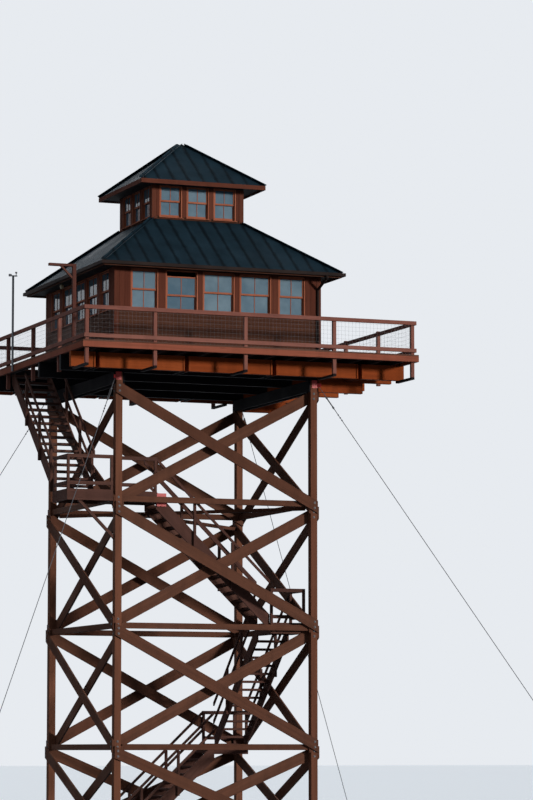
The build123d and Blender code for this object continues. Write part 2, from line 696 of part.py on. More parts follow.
def cab_wall(quarter):
    """One wall with its row of windows; front and back run the full width."""
    half = CAB_HALF if quarter % 2 == 0 else CAB_HALF - WALL
    z0 = DECK_TOP
    wall = block(-half, half, -CAB_HALF, -CAB_HALF + WALL, z0, WALL_TOP)
    for i, (x, window) in enumerate(cab_windows()):
        is_door = quarter == 2 and i == WINDOW_COUNT // 2
        wide = DOOR_WIDE if is_door else window
        low = z0 if is_door else z0 + SILL_HEIGHT
        high = z0 + (DOOR_TALL if is_door else WINDOW_TOP)
        wall = wall - block(x - wide / 2, x + wide / 2, -CAB_HALF, -CAB_HALF + WALL, low, high)
    return turned(wall, quarter)


def window_frame(x, y0, z0, z1, wide):
    """A double-hung window: two sashes, each with one upright bar."""
    frame = block(x - wide / 2, x + wide / 2, y0, y0 + SASH_THICK, z0, z1)
    mid = (z0 + z1) / 2
    for low, high in ((z0 + SASH, mid - SASH / 2), (mid + SASH / 2, z1 - SASH)):
        for left, right in ((x - wide / 2 + SASH, x - SASH / 4), (x + SASH / 4, x + wide / 2 - SASH)):
            frame = frame - block(left, right, y0, y0 + SASH_THICK, low, high)
    return frame


def make_cab_windows():
    frames = []
    for quarter in range(4):
        for i, (x, wide) in enumerate(cab_windows()):
            if quarter == 2 and i == WINDOW_COUNT // 2:
                continue
            frame = window_frame(x, -CAB_HALF + WALL / 4, DECK_TOP + SILL_HEIGHT, DECK_TOP + WINDOW_TOP, wide)
            frames.append(turned(frame, quarter))
    return frames


def make_cab_glass():
    panes = []
    for quarter in range(4):
        for i, (x, wide) in enumerate(cab_windows()):
            if quarter == 2 and i == WINDOW_COUNT // 2:
                continue
            y0 = -CAB_HALF + WALL / 4 + SASH_THICK
            pane = block(x - wide / 2, x + wide / 2, y0, y0 + GLASS,
                         DECK_TOP + SILL_HEIGHT, DECK_TOP + WINDOW_TOP)
            panes.append(turned(pane, quarter))
    return panes


def make_cab_door():
    door = block(-DOOR_WIDE / 2, DOOR_WIDE / 2, CAB_HALF - WALL / 2, CAB_HALF - WALL / 2 + DOOR_THICK,
                 DECK_TOP, DECK_TOP + DOOR_TALL)
    return door


def make_cab_floor():
    inside = CAB_HALF - WALL
    return block(-inside, inside, -inside, inside, DECK_TOP, DECK_TOP + CAB_FLOOR)


def cupola_wall(quarter):
    half = CUPOLA_HALF if quarter % 2 == 0 else CUPOLA_HALF - CUPOLA_WALL - JOINT
    wall = block(-half, half, -CUPOLA_HALF, -CUPOLA_HALF + CUPOLA_WALL, CUPOLA_BASE_Z, CUPOLA_TOP_Z)
    for x in window_places(CUPOLA_WINDOW_COUNT, CUPOLA_WINDOW_SPACING):
        wall = wall - block(x - CUPOLA_WINDOW_WIDE / 2, x + CUPOLA_WINDOW_WIDE / 2, -CUPOLA_HALF,
                            -CUPOLA_HALF + CUPOLA_WALL, CUPOLA_SILL, CUPOLA_WINDOW_TOP)
    return turned(wall, quarter)


def make_cupola_windows():
    frames = []
    for quarter in range(4):
        for x in window_places(CUPOLA_WINDOW_COUNT, CUPOLA_WINDOW_SPACING):
            frame = window_frame(x, -CUPOLA_HALF + CUPOLA_WALL / 4, CUPOLA_SILL, CUPOLA_WINDOW_TOP,
                                 CUPOLA_WINDOW_WIDE)
            frames.append(turned(frame, quarter))
    return frames


def make_cupola_glass():
    panes = []
    for quarter in range(4):
        for x in window_places(CUPOLA_WINDOW_COUNT, CUPOLA_WINDOW_SPACING):
            y0 = -CUPOLA_HALF + CUPOLA_WALL / 4 + SASH_THICK
            pane = block(x - CUPOLA_WINDOW_WIDE / 2, x + CUPOLA_WINDOW_WIDE / 2, y0, y0 + GLASS,
                         CUPOLA_SILL, CUPOLA_WINDOW_TOP)
            panes.append(turned(pane, quarter))
    return panes


# Roofs
def make_main_roof():
    """Four slopes from the eaves up to the foot of the cupola's walls."""
    seat = CUPOLA_HALF - ROOF_THICK / ROOF_SLOPE
    profile = [(EAVE_HALF, EAVE_Z), (EAVE_HALF, EAVE_Z - ROOF_THICK), (seat, CUPOLA_BASE_Z),
               (CUPOLA_HALF, CUPOLA_BASE_Z)]
    return [hip_slab(profile, quarter) for quarter in range(4)]


def make_cupola_roof():
    """Four slopes that meet at the top."""
    profile = [(CUPOLA_EAVE_HALF, CUPOLA_EAVE_Z), (CUPOLA_EAVE_HALF, CUPOLA_EAVE_Z - ROOF_THICK),
               (0, APEX_Z - ROOF_THICK), (0, APEX_Z)]
    return [hip_slab(profile, quarter) for quarter in range(4)]


def make_fascias(half, eave_z, deep):
    """Boards that hang under the edge of the roof."""
    return joined_ring(half, half - FASCIA_THICK, eave_z - deep, eave_z - ROOF_THICK)


def make_soffits(half, wall_half, z):
    """Boards from the fascia in to the wall."""
    return joined_ring(half - FASCIA_THICK, wall_half, z, z + SOFFIT_THICK)


def make_gutter():
    """A square gutter in four runs on the main fascia."""
    z1 = EAVE_Z - 2 * GUTTER_SHEET
    z0 = z1 - GUTTER
    half = EAVE_HALF + GUTTER
    reach, back = half - GUTTER_SHEET, EAVE_HALF + GUTTER_SHEET
    hollow = block(-reach, reach, -reach, reach, z0 + GUTTER_SHEET, z1)
    hollow = hollow - block(-back, back, -back, back, z0, z1)
    return [run - hollow for run in joined_ring(half, EAVE_HALF, z0, z1)]


def make_downspout():
    """From the gutter at the front right corner back under the eave and down the wall."""
    z_gutter = EAVE_Z - 2 * GUTTER_SHEET - GUTTER
    y_wall = -CAB_HALF - DOWNSPOUT_RADIUS - GUTTER_SHEET
    x_wall = CAB_HALF - 2 * DOWNSPOUT_RADIUS
    start = (x_wall + 2 * DOWNSPOUT_RADIUS, -EAVE_HALF - GUTTER / 2, z_gutter)
    route = [start, (start[0], start[1], z_gutter - DOWNSPOUT_DROP),
             (x_wall, y_wall, z_gutter - DOWNSPOUT_ELBOW), (x_wall, y_wall, DECK_TOP + DOWNSPOUT_FOOT)]
    pipe = rod(route[0], route[1], DOWNSPOUT_RADIUS)
    for a, b in zip(route[1:], route[2:]):
        pipe = pipe + rod(a, b, DOWNSPOUT_RADIUS) + Pos(*a) * Sphere(DOWNSPOUT_RADIUS)
    return pipe


# Hoist post, weather mast and lamp on the left side
def make_hoist():
    """A tall post inside the left rim with an arm out over the edge and a knee under the arm."""
    x_post = DECK_LEFT + POST_IN - RAIL_POST / 2
    post = rail_post(x_post, HOIST_Y, HOIST_TOP_Z)
    x0 = x_post - RAIL_POST / 2 - JOINT
    z = HOIST_TOP_Z - HOIST_ARM_DEEP - JOINT
    arm = block(x0 - HOIST_ARM, x0, HOIST_Y - RAIL_POST / 2, HOIST_Y + RAIL_POST / 2, z + JOINT, HOIST_TOP_Z)
    cut = HOIST_ARM_DEEP
    knee = plate_xz([(x0 - HOIST_KNEE, z), (x0 - HOIST_KNEE + cut, z), (x0, z - HOIST_KNEE + cut),
                     (x0, z - HOIST_KNEE)], HOIST_Y - HOIST_ARM_DEEP / 2, HOIST_Y + HOIST_ARM_DEEP / 2)
    return [post, arm, knee]


def make_mast():
    """The pole on the outside of the left rim, with a crossarm, a sensor drum and a small vane."""
    x = DECK_LEFT - MAST_RADIUS - SEAT_GAP
    pole = rod((x, MAST_Y, JOIST_BOTTOM), (x, MAST_Y, MAST_TOP_Z), MAST_RADIUS)
    half = MAST_HEAD / 2
    arm = block(x - half, x + half, MAST_Y - MAST_RADIUS / 2, MAST_Y + MAST_RADIUS / 2,
                MAST_TOP_Z, MAST_TOP_Z + MAST_RADIUS)
    drum = Pos(x - half + MAST_RADIUS, MAST_Y, MAST_TOP_Z + MAST_RADIUS)
    drum = drum * Cylinder(MAST_RADIUS * 1.4, MAST_RADIUS * 2)
    x_vane = x + half - MAST_RADIUS
    spindle = rod((x_vane, MAST_Y, MAST_TOP_Z), (x_vane, MAST_Y, MAST_TOP_Z + half), MAST_RADIUS / 3)
    vane = block(x + half - MAST_RADIUS * 2, x + half, MAST_Y - MAST_RADIUS / 10, MAST_Y + MAST_RADIUS / 10,
                 MAST_TOP_Z + half - MAST_RADIUS, MAST_TOP_Z + half + MAST_RADIUS / 2)
    return pole + arm + drum + spindle + vane


def make_lamp():
    """A round lamp glass with a cap, on a short stem under the left eave."""
    x = -EAVE_HALF + FASCIA_THICK + 2 * LAMP_RADIUS
    z = SOFFIT_Z - LAMP_STEM - LAMP_TALL
    stem, foot, shoulder = LAMP_RADIUS / 4, LAMP_RADIUS / 2, z + LAMP_TALL / 2
    profile = Polyline((0, z), (foot, z), (LAMP_RADIUS, shoulder), (LAMP_RADIUS, z + LAMP_TALL),
                       (stem, z + LAMP_TALL), (stem, SOFFIT_Z), (0, SOFFIT_Z), close=True)
    return Pos(x, LAMP_Y, 0) * revolve(make_face(Plane.XZ * profile), axis=Axis.Z)


# Guys, with a turnbuckle near the top of each and an anchor on the ground
def guy_points(sx, sy):
    """Where a guy's line meets the corner of its leg, and its lower end just over the anchor."""
    out = GUY_REACH / sqrt(2)
    drop = GUY_TOP_Z - ANCHOR_HEIGHT
    lift = GUY_RADIUS * GUY_REACH / hypot(GUY_REACH, drop) + SEAT_GAP
    top = Vector(sx * LEG_OUT, sy * LEG_OUT, GUY_TOP_Z)
    foot = Vector(sx * (LEG_OUT + out), sy * (LEG_OUT + out), ANCHOR_HEIGHT + lift)
    return top, foot


def corners():
    return [(sx, sy) for sx in (-1, 1) for sy in (-1, 1)]


def guy_body(sx, sy, grow=0.0):
    top, foot = guy_points(sx, sy)
    line = (foot - top).normalized()
    body = rod(tuple(top + line * (BRACKET_LUG * 0.6 - grow)), tuple(foot), GUY_RADIUS + grow)
    at = top + line * TURNBUCKLE_AT
    return body + rod(tuple(at), tuple(at + line * TURNBUCKLE_LENGTH), TURNBUCKLE_RADIUS)


def make_guys():
    return [guy_body(sx, sy) for sx, sy in corners()]


def make_guy_brackets():
    """A plate on the front or back of each leg's head, with a lug that points along the guy."""
    brackets = []
    for sx, sy in corners():
        x0, x1 = sorted((sx * LEG_OUT, sx * (LEG_OUT - BRACKET_WIDE)))
        y0, y1 = sorted((sy * LEG_OUT, sy * (LEG_OUT + BRACKET_PLATE)))
        plate = block(x0, x1, y0, y1, GUY_TOP_Z - BRACKET_TALL / 2,
                      GUY_TOP_Z + BRACKET_TALL / 2 - BRACKET_PLATE)
        top, foot = guy_points(sx, sy)
        line = (foot - top).normalized()
        lug = Box(BRACKET_LUG, BRACKET_PLATE, BRACKET_LUG * 0.8)
        reach = BRACKET_LUG / 2 / sqrt(2)
        angle = degrees(atan2(sy, sx))
        start = BRACKET_PLATE / 2
        place = Pos(sx * (LEG_OUT + reach - start), sy * (LEG_OUT + reach + start), GUY_TOP_Z - BRACKET_LUG / 4)
        lug = place * Rot(0, 0, angle) * lug
        room = block(x0 if sx > 0 else x0 - BRACKET_LUG * 2, x1 + BRACKET_LUG * 2 if sx > 0 else x1,
                     *sorted((sy * LEG_OUT, sy * (LEG_OUT + 2 * BRACKET_LUG))),
                     GUY_TOP_Z - BRACKET_TALL, GUY_TOP_Z + BRACKET_TALL)
        bracket = (plate + (lug & room)) - guy_body(sx, sy, SEAT_GAP)
        brackets.append(bracket.solids().sort_by(SortBy.VOLUME)[-1])
    return brackets


def make_anchors():
    anchors = []
    for sx, sy in corners():
        top, foot = guy_points(sx, sy)
        anchors.append(Pos(foot.X, foot.Y, ANCHOR_HEIGHT / 2) * Cylinder(ANCHOR_RADIUS, ANCHOR_HEIGHT))
    return anchors


def main():
    os.makedirs("parts", exist_ok=True)
    flights = range(len(RISERS))
    save("concrete_piers", make_piers())
    save("legs", make_legs())
    for quarter, name in enumerate(("front", "right", "back", "left")):
        save(f"braces_{name}", make_face_braces(quarter))
        save(f"cab_wall_{name}", cab_wall(quarter))
    save("girts", make_girts())
    save("plan_braces", make_plan_braces())
    save("stair_treads", [tread for index in flights for tread in make_treads(index)])
    save("stair_rails", [side for index in flights for side in make_stair_rails(index)])
    save("stair_stringers", make_stringers())
    for index in range(len(LANDING_TOPS)):
        save(f"landing_{index + 1}", make_landing(index))
    save("landing_rails", make_landing_rails())
    save("landing_knee", make_landing_knee())
    save("landing_box", make_landing_box())
    save("deck_girders", make_girders())
    save("deck_beams", make_beams())
    save("deck_outriggers", make_outriggers())
    save("deck_joists", make_joists())
    save("stairwell_frame", make_well_trimmers())
    save("deck_rim", make_rim())
    save("deck_floor", make_deck_floor())
    for side in ("front", "back", "right", "left"):
        save(f"railing_{side}", make_railing(side))
    save("rail_ties", make_rail_ties())
    save("cab_windows", make_cab_windows())
    save("cab_glass", make_cab_glass())
    save("cab_door", make_cab_door())
    save("cab_floor", make_cab_floor())
    save("main_roof", make_main_roof())
    save("eave_fascia", make_fascias(EAVE_HALF, EAVE_Z, EAVE_FASCIA))
    save("eave_soffit", make_soffits(EAVE_HALF, CAB_HALF, SOFFIT_Z))
    save("cupola_walls", [cupola_wall(quarter) for quarter in range(4)])
    save("cupola_windows", make_cupola_windows())
    save("cupola_glass", make_cupola_glass())
    save("cupola_roof", make_cupola_roof())
    save("cupola_fascia", make_fascias(CUPOLA_EAVE_HALF, CUPOLA_EAVE_Z, CUPOLA_EAVE_FASCIA))
    save("cupola_soffit", make_soffits(CUPOLA_EAVE_HALF, CUPOLA_HALF, CUPOLA_SOFFIT_Z))
    save("gutter", make_gutter())
    save("downspout", make_downspout())
    save("hoist_post", make_hoist())
    save("weather_mast", make_mast())
    save("eave_lamp", make_lamp())
    save("guy_cables", make_guys())
    save("guy_brackets", make_guy_brackets())
    save("guy_anchors", make_anchors())


main()
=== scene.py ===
"""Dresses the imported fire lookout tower.

Every node gets its finish, and the fine pieces that the solids leave out are added. Lengths are in metres.
"""
from __future__ import annotations

import logging
from collections.abc import Iterator, Sequence
from dataclasses import dataclass
from enum import Enum
from math import pi, radians

import bmesh
import bpy
import numpy as np
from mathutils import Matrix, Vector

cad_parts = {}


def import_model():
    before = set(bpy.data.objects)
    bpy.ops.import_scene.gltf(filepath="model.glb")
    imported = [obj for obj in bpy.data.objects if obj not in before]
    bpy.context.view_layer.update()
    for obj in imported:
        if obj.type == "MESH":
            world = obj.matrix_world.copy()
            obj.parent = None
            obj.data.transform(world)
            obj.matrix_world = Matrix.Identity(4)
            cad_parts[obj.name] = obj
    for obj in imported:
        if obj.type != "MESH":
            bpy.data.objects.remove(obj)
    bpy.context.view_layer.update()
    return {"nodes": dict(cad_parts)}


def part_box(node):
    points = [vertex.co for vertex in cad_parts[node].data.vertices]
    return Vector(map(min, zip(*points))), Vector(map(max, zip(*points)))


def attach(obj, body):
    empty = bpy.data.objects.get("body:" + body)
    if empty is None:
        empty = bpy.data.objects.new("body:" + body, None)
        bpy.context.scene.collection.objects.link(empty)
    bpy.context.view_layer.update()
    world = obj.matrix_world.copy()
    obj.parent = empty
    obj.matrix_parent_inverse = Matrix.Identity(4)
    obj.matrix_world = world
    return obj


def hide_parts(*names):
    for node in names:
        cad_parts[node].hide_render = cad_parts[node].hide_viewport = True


LOG = logging.getLogger("lookout")

Colour = tuple[float, float, float]
Point = tuple[float, float, float]
# Two numbers, mostly a lowest and a highest one.
Pair = Sequence[float]
Socket = bpy.types.NodeSocket

SIDES = ("front", "back", "left", "right")
X, Y, Z = (1, 0, 0), (0, 1, 0), (0, 0, 1)
# Edges that turn by more than this are eased.
EASED_ANGLE = radians(40)
# Farthest that a board's grain is moved by chance, so that no two boards match.
GRAIN_SHIFT = 20.0
# Gloss of weathered stain and paint: low, so that the pale studio leaves no sheen on them.
DULL = 0.04


def linear(*screen: int) -> Colour:
    """Turns a colour as seen on a screen into the linear light that shaders use.

    Args:
        screen: Its red, green and blue, each from 0 to 255.

    Returns:
        The same colour as three linear values.
    """
    shares = np.array(screen) / 255.0
    bent = np.where(shares <= 0.04045, shares / 12.92, ((shares + 0.055) / 1.055) ** 2.4)
    return tuple(float(v) for v in bent)


# Timber and roof paint that hardly any light reaches.
UNLIT = linear(21, 20, 23)
UNLIT_PAINT = linear(5, 11, 16)


class Wiring:
    """Adds nodes to one shader tree and joins their sockets."""

    def __init__(self, tree: bpy.types.NodeTree) -> None:
        """Keeps the tree that the nodes go into."""
        self.tree = tree

    def put(self, socket: Socket, value: object) -> None:
        """Joins a socket to another, or gives it a plain value.

        Args:
            socket: The input.
            value: Another node's output, a number, a vector or a colour.
        """
        if isinstance(value, bpy.types.NodeSocket):
            self.tree.links.new(value, socket)
        elif isinstance(value, tuple) and len(value) == 3 and socket.type == "RGBA":
            socket.default_value = (*value, 1.0)
        else:
            socket.default_value = value

    def add(self, kind: str, inputs: dict[str | int, object] | None = None,
            **settings: object) -> bpy.types.Node:
        """Adds a node.

        Args:
            kind: The node's type.
            inputs: What each of its inputs takes.
            settings: Its own properties.

        Returns:
            The node.
        """
        node = self.tree.nodes.new(kind)
        for name, value in settings.items():
            setattr(node, name, value)
        for name, value in (inputs or {}).items():
            self.put(node.inputs[name], value)
        return node

    def noise(self, vector: Socket, scale: float, detail: float = 4.0, roughness: float = 0.55,
              distortion: float = 0.0) -> Socket:
        """Fractal noise of a scale, from 0 to 1, centred on a half."""
        inputs = {"Scale": scale, "Detail": detail, "Roughness": roughness, "Distortion": distortion}
        return self.add("ShaderNodeTexNoise", {"Vector": vector, **inputs}).outputs["Fac"]

    def cells(self, vector: Socket, scale: float) -> Socket:
        """Distance to the nearest of scattered points, for knots, pores and spangle."""
        return self.add("ShaderNodeTexVoronoi", {"Vector": vector, "Scale": scale}).outputs["Distance"]

    def stretch(self, vector: Socket, scale: Point) -> Socket:
        """A coordinate scaled along its three axes."""
        return self.add("ShaderNodeMapping", {"Vector": vector, "Scale": scale}).outputs["Vector"]

    def span(self, value: Socket, low: float, high: float, to_low: float = 0.0,
             to_high: float = 1.0) -> Socket:
        """Maps low to high on to to_low to to_high, clamped at both ends."""
        inputs = {"Value": value, "From Min": low, "From Max": high, "To Min": to_low, "To Max": to_high}
        return self.add("ShaderNodeMapRange", inputs).outputs["Result"]

    def mix(self, share: object, first: object, second: object) -> Socket:
        """Blends from the first colour to the second."""
        return self.add("ShaderNodeMix", {0: share, 6: first, 7: second}, data_type="RGBA").outputs[2]

    def sum(self, operation: str, first: object, second: object = 0.0) -> Socket:
        """A sum on two numbers, such as ADD or MULTIPLY."""
        return self.add("ShaderNodeMath", {0: first, 1: second}, operation=operation).outputs[0]

    def coats(self, colour: object, *coats: tuple[Socket, float, Colour]) -> Socket:
        """Lays colours one over the other.

        Args:
            colour: The lowest colour.
            coats: The mask of each further coat, its greatest share, and its colour.

        Returns:
            The colour that shows.
        """
        for mask, share, coat in coats:
            colour = self.mix(self.sum("MULTIPLY", mask, share), colour, coat)
        return colour

    def part(self, vector: Socket, axis: str) -> Socket:
        """One of the three numbers of a vector."""
        return self.add("ShaderNodeSeparateXYZ", {0: vector}).outputs[axis]

    def place(self) -> Socket:
        """Object coordinates, which are metres on the tower."""
        return self.add("ShaderNodeTexCoord").outputs["Object"]

    def attribute(self, name: str, output: str) -> Socket:
        """A value that a mesh carries at its vertices."""
        return self.add("ShaderNodeAttribute", attribute_name=name).outputs[output]

    def seen(self) -> Socket:
        """Tells what the camera, gloss and glass see from what lights the tower.

        Returns:
            One for their rays, and nothing for any other.
        """
        path = self.add("ShaderNodeLightPath").outputs
        gloss = self.sum("MAXIMUM", path["Is Glossy Ray"], path["Is Transmission Ray"])
        return self.sum("MAXIMUM", path["Is Camera Ray"], gloss)

    def bump(self, height: Socket, depth: float, strength: float = 1.0) -> Socket:
        """A normal from a height of that depth."""
        inputs = {"Height": height, "Distance": depth, "Strength": strength}
        return self.add("ShaderNodeBump", inputs).outputs["Normal"]

    def shader(self, **values: object) -> None:
        """Puts a Principled shader on the output.

        Args:
            values: What its inputs take, their names written small and with lines for spaces.
        """
        inputs = {name.replace("_", " ").title().replace("Ior", "IOR"): values[name] for name in values}
        surface = self.add("ShaderNodeBsdfPrincipled", inputs).outputs[0]
        self.add("ShaderNodeOutputMaterial", {"Surface": surface})

    def group(self, group: ShaderGroup, **values: object) -> bpy.types.NodeOutputs:
        """Places a shader group, feeds its inputs by name and gives its outputs."""
        return self.add("ShaderNodeGroup", values, node_tree=group.tree()).outputs


class ShaderGroup:
    """A shader group that several finishes use.

    Attributes:
        name: The group's name.
        inputs: The name of each input and its kind, such as Float or Vector.
    """

    name: str
    inputs: dict[str, str]

    def wire(self, wires: Wiring, given: bpy.types.NodeOutputs) -> dict[str, Socket]:
        """Wires the group and gives what each of its outputs, which are all numbers, takes."""
        raise NotImplementedError

    def tree(self) -> bpy.types.NodeTree:
        """Builds the group's tree at its first use.

        Returns:
            The tree.
        """
        made = bpy.data.node_groups.get(self.name)
        if made:
            return made
        tree = bpy.data.node_groups.new(self.name, "ShaderNodeTree")
        for socket, kind in self.inputs.items():
            tree.interface.new_socket(name=socket, in_out="INPUT", socket_type=f"NodeSocket{kind}")
        wires = Wiring(tree)
        results = self.wire(wires, wires.add("NodeGroupInput").outputs)
        for socket in results:
            tree.interface.new_socket(name=socket, in_out="OUTPUT", socket_type="NodeSocketFloat")
        wires.add("NodeGroupOutput", results)
        return tree


class SawnGrain(ShaderGroup):
    """Sawn wood: long fibres along the first coordinate, rings drawn out across, and a few knots.

    Attributes:
        ring_scale: How the growth rings are stretched along, across and through the board.
        fibre_scale: The same for the fibres.
        knot_scale: The same for the knots.
    """

    name = "sawn_grain"
    inputs = {"Along": "Vector", "Fineness": "Float"}
    ring_scale: Point = (0.35, 7.0, 7.0)
    fibre_scale: Point = (1.3, 60.0, 60.0)
    knot_scale: Point = (0.9, 5.0, 5.0)

    def wire(self, wires: Wiring, given: bpy.types.NodeOutputs) -> dict[str, Socket]:
        """Figure is rings and fibres together, Height is the fibres with the knots sunk in.

        Args:
            wires: The group's wiring.
            given: The grain coordinate and the fineness.

        Returns:
            Figure, Height and Knots.
        """
        inputs = {0: given["Along"], "Scale": given["Fineness"]}
        along = wires.add("ShaderNodeVectorMath", inputs, operation="SCALE").outputs[0]
        rings = wires.noise(wires.stretch(along, self.ring_scale), 1.0, 3.0, 0.5, 0.6)
        fibre = wires.noise(wires.stretch(along, self.fibre_scale), 1.0, 4.0, 0.65)
        knots = wires.span(wires.cells(wires.stretch(along, self.knot_scale), 1.0), 0.0, 0.16, 1.0, 0.0)
        figure = wires.sum("ADD", wires.sum("MULTIPLY", rings, 0.6), wires.sum("MULTIPLY", fibre, 0.4))
        height = wires.sum("SUBTRACT", fibre, wires.sum("MULTIPLY", knots, 0.4))
        return {"Figure": wires.span(figure, 0.32, 0.68), "Height": height, "Knots": knots}


class OutdoorWearAndShade(ShaderGroup):
    """Outdoor wear and painted shade: runs of dirt down upright faces, paler, drier tops, and painted shade
    on faces that look down.

    Attributes:
        run_scale: How the runs of dirt are stretched, longest down the face.
    """

    name = "outdoor_wear_and_shade"
    inputs = {}
    run_scale: Point = (3.2, 3.2, 0.35)

    def wire(self, wires: Wiring, given: bpy.types.NodeOutputs) -> dict[str, Socket]:
        """Each mask follows from the place on the tower or from how far the surface faces up.

        Args:
            wires: The group's wiring.
            given: Nothing, because the group has no inputs.

        Returns:
            Runs, Sky, Under and Blotches.
        """
        place = wires.place()
        up = wires.part(wires.add("ShaderNodeNewGeometry").outputs["Normal"], "Z")
        runs = wires.noise(wires.stretch(place, self.run_scale), 1.0, 5.0, 0.6)
        # The mask for faces that look down is painted shade.
        return {"Runs": wires.span(runs, 0.45, 0.75), "Sky": wires.span(up, 0.35, 0.95),
                "PaintedShadeBelow": wires.span(up, -0.9, -0.35, 1.0, 0.0),
                "Blotches": wires.span(wires.noise(place, 0.55, 4.0, 0.6), 0.3, 0.7)}


def new_material(name: str) -> tuple[bpy.types.Material, Wiring]:
    """Starts a node material.

    Args:
        name: The material's name.

    Returns:
        The material, which has no nodes yet, and its wiring.
    """
    material = bpy.data.materials.new(name)
    material.use_nodes = True
    material.node_tree.nodes.clear()
    return material, Wiring(material.node_tree)


@dataclass(frozen=True)
class Coating:
    """What every finish has.

    Attributes:
        name: The material's name.
        colour: Its own colour.
        worn_and_reflected_sky: Colour where it is thin, faded, chipped or damp, and for glass the pale sky of
            its painted reflection.
    """

    name: str
    colour: Colour
    worn_and_reflected_sky: Colour

    def wire(self, wires: Wiring) -> None:
        """Wires the material's shader."""
        raise NotImplementedError

    def make(self) -> bpy.types.Material:
        """Builds the material.

        Returns:
            The material.
        """
        material, wires = new_material(self.name)
        self.wire(wires)
        return material


@dataclass(frozen=True)
class TimberFinish(Coating):
    """Stained, weathered timber whose grain follows each board.

    Attributes:
        dark: Colour of late wood, knots and dirt.
        fineness: Scale of the grain; 1 suits a heavy timber.
        roughness: Roughness of the surface.
        depth: Height of the fibres.
        painted_shade_part: Right edge and half depth of the middle part under the deck where shade is
            painted, or nothing.
    """

    dark: Colour
    fineness: float = 1.0
    roughness: float = 0.72
    depth: float = 0.003
    painted_shade_part: Pair = ()

    def painted_shade_mask(self, wires: Wiring) -> Socket:
        """A mask of the painted shade under the deck, whose place is measured as shares of the way to its
        edges.

        Args:
            wires: The material's wiring.

        Returns:
            One inside the part and nothing outside, with a narrow change between.
        """
        place = wires.place()
        right = wires.sum("DIVIDE", wires.part(place, "X"), self.painted_shade_part[0])
        depth = wires.sum("DIVIDE", wires.sum("ABSOLUTE", wires.part(place, "Y")), self.painted_shade_part[1])
        return wires.span(wires.sum("MAXIMUM", right, depth), 0.98, 1.0, 1.0, 0.0)

    def wire(self, wires: Wiring) -> None:
        """A tone for each board, then grain, then wear, then painted shade on faces that look down and in the
        middle part under the deck.

        Args:
            wires: The material's wiring.
        """
        along = wires.attribute("grain", "Vector")
        grain = wires.group(SawnGrain(), Along=along, Fineness=self.fineness)
        wear = wires.group(OutdoorWearAndShade())
        board = wires.attribute("board", "Fac")
        # The last coat is painted shade on faces that look down, in the colour of unlit timber.
        colour = wires.coats(
            self.colour, (board, 0.55, self.worn_and_reflected_sky), (grain["Figure"], 0.5, self.dark),
            (grain["Knots"], 0.6, self.dark), (wear["Runs"], 0.35, self.dark), (wear["Sky"], 0.4, self.worn_and_reflected_sky),
            (wear["PaintedShadeBelow"], 0.8, UNLIT))
        # Painted shade: the middle part under the deck takes the colour of unlit timber.
        if self.painted_shade_part:
            colour = wires.mix(self.painted_shade_mask(wires), colour, UNLIT)
        rough = wires.span(wear["Blotches"], 0.0, 1.0, self.roughness - 0.1, self.roughness + 0.12)
        wires.shader(base_color=colour, roughness=rough, specular_ior_level=DULL,
                     normal=wires.bump(grain["Height"], self.depth))


@dataclass(frozen=True)
class SheetMetalFinish(Coating):
    """Painted sheet metal, a little faded and streaked down the fall of the roof, with painted shade beside
    the seams.

    Attributes:
        roughness: Roughness of the paint.
        pitch: Distance between the seams, beside which shade is painted, or nothing.
    """

    roughness: float
    pitch: float = 0.0

    def tones_and_seam_shade(self, wires: Wiring, place: Socket) -> tuple[Socket, Socket]:
        """A chance tone for each panel between two seams, and painted shade beside the seams.

        A slope that faces left or right is divided along Y, and one that faces front or back along X.

        Args:
            wires: The material's wiring.
            place: The object coordinates.

        Returns:
            The tone from 0 to 1, and the painted shade from 0 to 1.
        """
        normal = wires.add("ShaderNodeNewGeometry").outputs["Normal"]
        x, y = wires.part(place, "X"), wires.part(place, "Y")
        sideways, forwards = (wires.sum("ABSOLUTE", wires.part(normal, axis)) for axis in "XY")
        turned = wires.sum("GREATER_THAN", sideways, forwards)
        across = wires.sum("ADD", x, wires.sum("MULTIPLY", turned, wires.sum("SUBTRACT", y, x)))
        panel = wires.sum("DIVIDE", across, self.pitch)
        number = wires.sum("ADD", wires.sum("FLOOR", panel), turned)
        chance = wires.add("ShaderNodeTexWhiteNoise", noise_dimensions="1D")
        wires.put(chance.inputs["W"], number)
        off = wires.sum("ABSOLUTE", wires.sum("SUBTRACT", wires.sum("FRACT", panel), 0.5))
        ragged = wires.noise(wires.stretch(place, (5.0, 5.0, 0.8)), 1.0, 4.0, 0.6)
        # Painted shade: a ragged dark line beside each seam, where its shadow falls.
        dirt = wires.span(wires.sum("ADD", off, wires.sum("MULTIPLY", ragged, 0.3)), 0.46, 0.62)
        return chance.outputs["Value"], dirt

    def wire(self, wires: Wiring) -> None:
        """Paint that fades in long patches, on sheets that aren't quite flat.

        Args:
            wires: The material's wiring.
        """
        place = wires.place()
        wear = wires.group(OutdoorWearAndShade())
        patches = wires.noise(wires.stretch(place, (1.7, 1.7, 0.4)), 1.0, 3.0, 0.5)
        colour = wires.mix(wires.span(patches, 0.35, 0.7), self.colour, self.worn_and_reflected_sky)
        colour = wires.coats(colour, (wear["Runs"], 0.35, self.worn_and_reflected_sky))
        if self.pitch:
            tone, dirt = self.tones_and_seam_shade(wires, place)
            # The dark lines beside the seams are painted shade in the colour of unlit paint.
            colour = wires.coats(colour, (tone, 0.5, self.colour), (dirt, 0.8, UNLIT_PAINT))
        rough = wires.span(wear["Blotches"], 0.0, 1.0, self.roughness - 0.08, self.roughness + 0.14)
        waves = wires.noise(wires.stretch(place, (1.1, 1.1, 1.6)), 1.0, 2.0, 0.4)
        wires.shader(base_color=colour, roughness=rough, metallic=0.0, specular_ior_level=DULL,
                     normal=wires.bump(waves, 0.02, 0.35))


